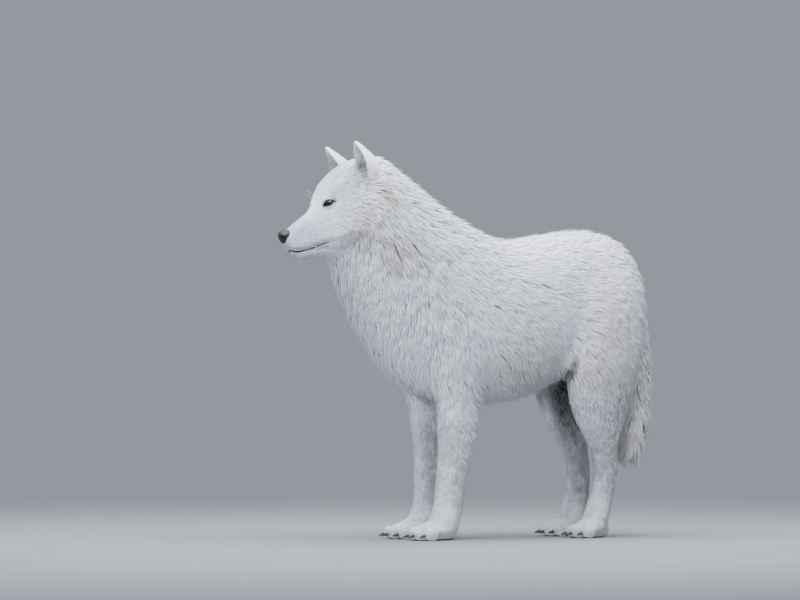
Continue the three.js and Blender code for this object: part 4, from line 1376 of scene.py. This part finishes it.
def draw_together(tufts, path):
    """The tufts of a lock lean toward its leader, the more the nearer to the tip."""
    root, leader = tufts.root, tufts.leader
    strength = 0.45 * tufts.lock * np.where(tufts.trunk, ramp(tufts.lock, 0.35, 0.8), 1.0) * ~tufts.free
    pull = strength[:, None] * TIMES[None, :] ** 1.5
    path = path + pull[..., None] * (path[leader] + (root - root[leader])[:, None] * 0.25 - path)
    path[..., 2] = np.maximum(path[..., 2], OVER_FLOOR)
    return path


def tint(tufts, path):
    """The tufts' colours: the coat's colour spots and painted shade in streaks, and a tone that varies a
    little.
    """
    plain = np.array(WHITE)
    change = marks_and_painted_shade(path[:, 2], tufts.up) - plain
    streaks = (0.35 * tufts.by_lock() + 0.25 * tufts.by_tuft()) / (1 - 5 * change.mean(axis=1))
    rgb = plain + change * (1 + streaks).clip(0.2, 1.6)[:, None]
    rgb = np.where(tufts.free[:, None], plain * 0.9, rgb)
    tone = 1 + (0.02 + 0.05 * tufts.legs) * tufts.by_lock() + 0.03 * tufts.by_tuft()
    return (rgb * tone.clip(0.8, 1.1)[:, None]).clip(0.02, 0.92)


def grow_coat(skin, tips, coat, group_of, lines, material):
    """All the tufts, in pieces by region and by length."""
    tufts = sow(skin.data, coat, group_of)
    clear_bare_places(tufts, lines)
    vary(tufts)
    set_free(tufts)
    hang_brush(tufts)
    path, ways_out = lay(tufts, tips)
    path = draw_together(tufts, path)
    rgb = tint(tufts, path)
    high = np.where(tufts.trunk | tufts.brush, 0.2, 0.28)
    region = np.array([REGIONS[g] for g in tufts.group])
    long = tufts.length > LONG_TUFT
    for name, soft in SOFT.items():
        for kind, (steps, shape) in KINDS.items():
            i = np.flatnonzero((region == name) & (long == (kind == "long")))
            if len(i) > FEW:
                coat_pieces(f"fur_{name}_{kind}", path[i][:, steps], ways_out[i][:, steps], tufts.wide[i],
                            high[i], soft, shape, rgb[i], tufts.place[i], material)


# ---- stage --------------------------------------------------------------------------------

def backdrop():
    """The colour of everything far away."""
    world = bpy.data.worlds.new("studio")
    bpy.context.scene.world = world
    world.use_nodes = True
    background = next(n for n in world.node_tree.nodes if n.type == "BACKGROUND")
    background.inputs["Color"].default_value = (*FAR, 1)
    background.inputs["Strength"].default_value = 1.0


def floor_material():
    """Pale paint that turns into the background far away."""
    m = Nodes("floor_paint", Roughness=0.9, Specular_IOR_Level=0.1)
    place = m.place()
    grain = m.noise(place, 9.0, 4.0)
    m.link(m.ramp(grain, [(0.3, (0.20, 0.205, 0.215)), (0.7, (0.215, 0.22, 0.23))]), "Base Color")
    reach = m.add("VectorMath", {0: place}, operation="LENGTH").outputs["Value"]
    fade = m.add("MapRange", {"Value": reach, "From Min": 1.0, "From Max": 4.5},
                 interpolation_type="SMOOTHSTEP").outputs["Result"]
    glow = m.add("Emission", {"Color": (*FAR, 1), "Strength": 1.0}).outputs["Emission"]
    mix = m.add("MixShader", {0: fade, 1: m.shader.outputs["BSDF"], 2: glow}).outputs["Shader"]
    output = next(n for n in m.tree.nodes if n.type == "OUTPUT_MATERIAL")
    m.tree.links.new(mix, output.inputs["Surface"])
    return m.material


def floor():
    bpy.ops.mesh.primitive_circle_add(vertices=96, radius=60, fill_type="NGON", location=(0, 0, 0))
    made = bpy.context.object
    made.name = "floor"
    made.data.materials.append(floor_material())


def face_along(obj, way):
    """Turns a light or the camera so that it looks this way."""
    obj.rotation_mode = "QUATERNION"
    obj.rotation_quaternion = way.to_track_quat("-Z", "Y")


def lights():
    for name, (at, size, power, colour, glossy) in LIGHTS.items():
        data = bpy.data.lights.new(name, "AREA")
        data.shape, data.size, data.energy, data.color = "DISK", size, power, colour
        light = linked(name, data)
        light.location = at
        light.visible_glossy = glossy
        face_along(light, Vector((0, 0, 0.5)) - Vector(at))


def camera():
    a = math.radians(CAMERA["azimuth"])
    back = Vector((math.sin(a), -math.cos(a), 0))
    data = bpy.data.cameras.new("camera")
    data.sensor_width = 36.0
    data.lens = data.sensor_width * CAMERA["distance"] / CAMERA["width"]
    data.clip_start, data.clip_end = 0.1, 200
    made = linked("camera", data)
    made.location = Vector(CAMERA["target"]) + back * CAMERA["distance"]
    face_along(made, -back)
    bpy.context.scene.camera = made


# ---- all of it ----------------------------------------------------------------------------

backdrop()
floor()
lights()
camera()
skin_look, hair_look = skin_material(), coat_material()
nose_look = leather_material("nose_leather", (0.017, 0.016, 0.018), 0.45, 800.0, 0.2)
rim_look = leather_material("rim_leather", (0.014, 0.013, 0.013), 0.6, 2600.0, 0.0)
skin, tips, coat, group_of, lines = make_skin(skin_look)
colour_skin(skin)
grow_coat(skin, tips, coat, group_of, lines, hair_look)
eyes(skin, eye_material(), rim_look)
nose(nose_look)
lips(lines, rim_look)
claws(horn_material())
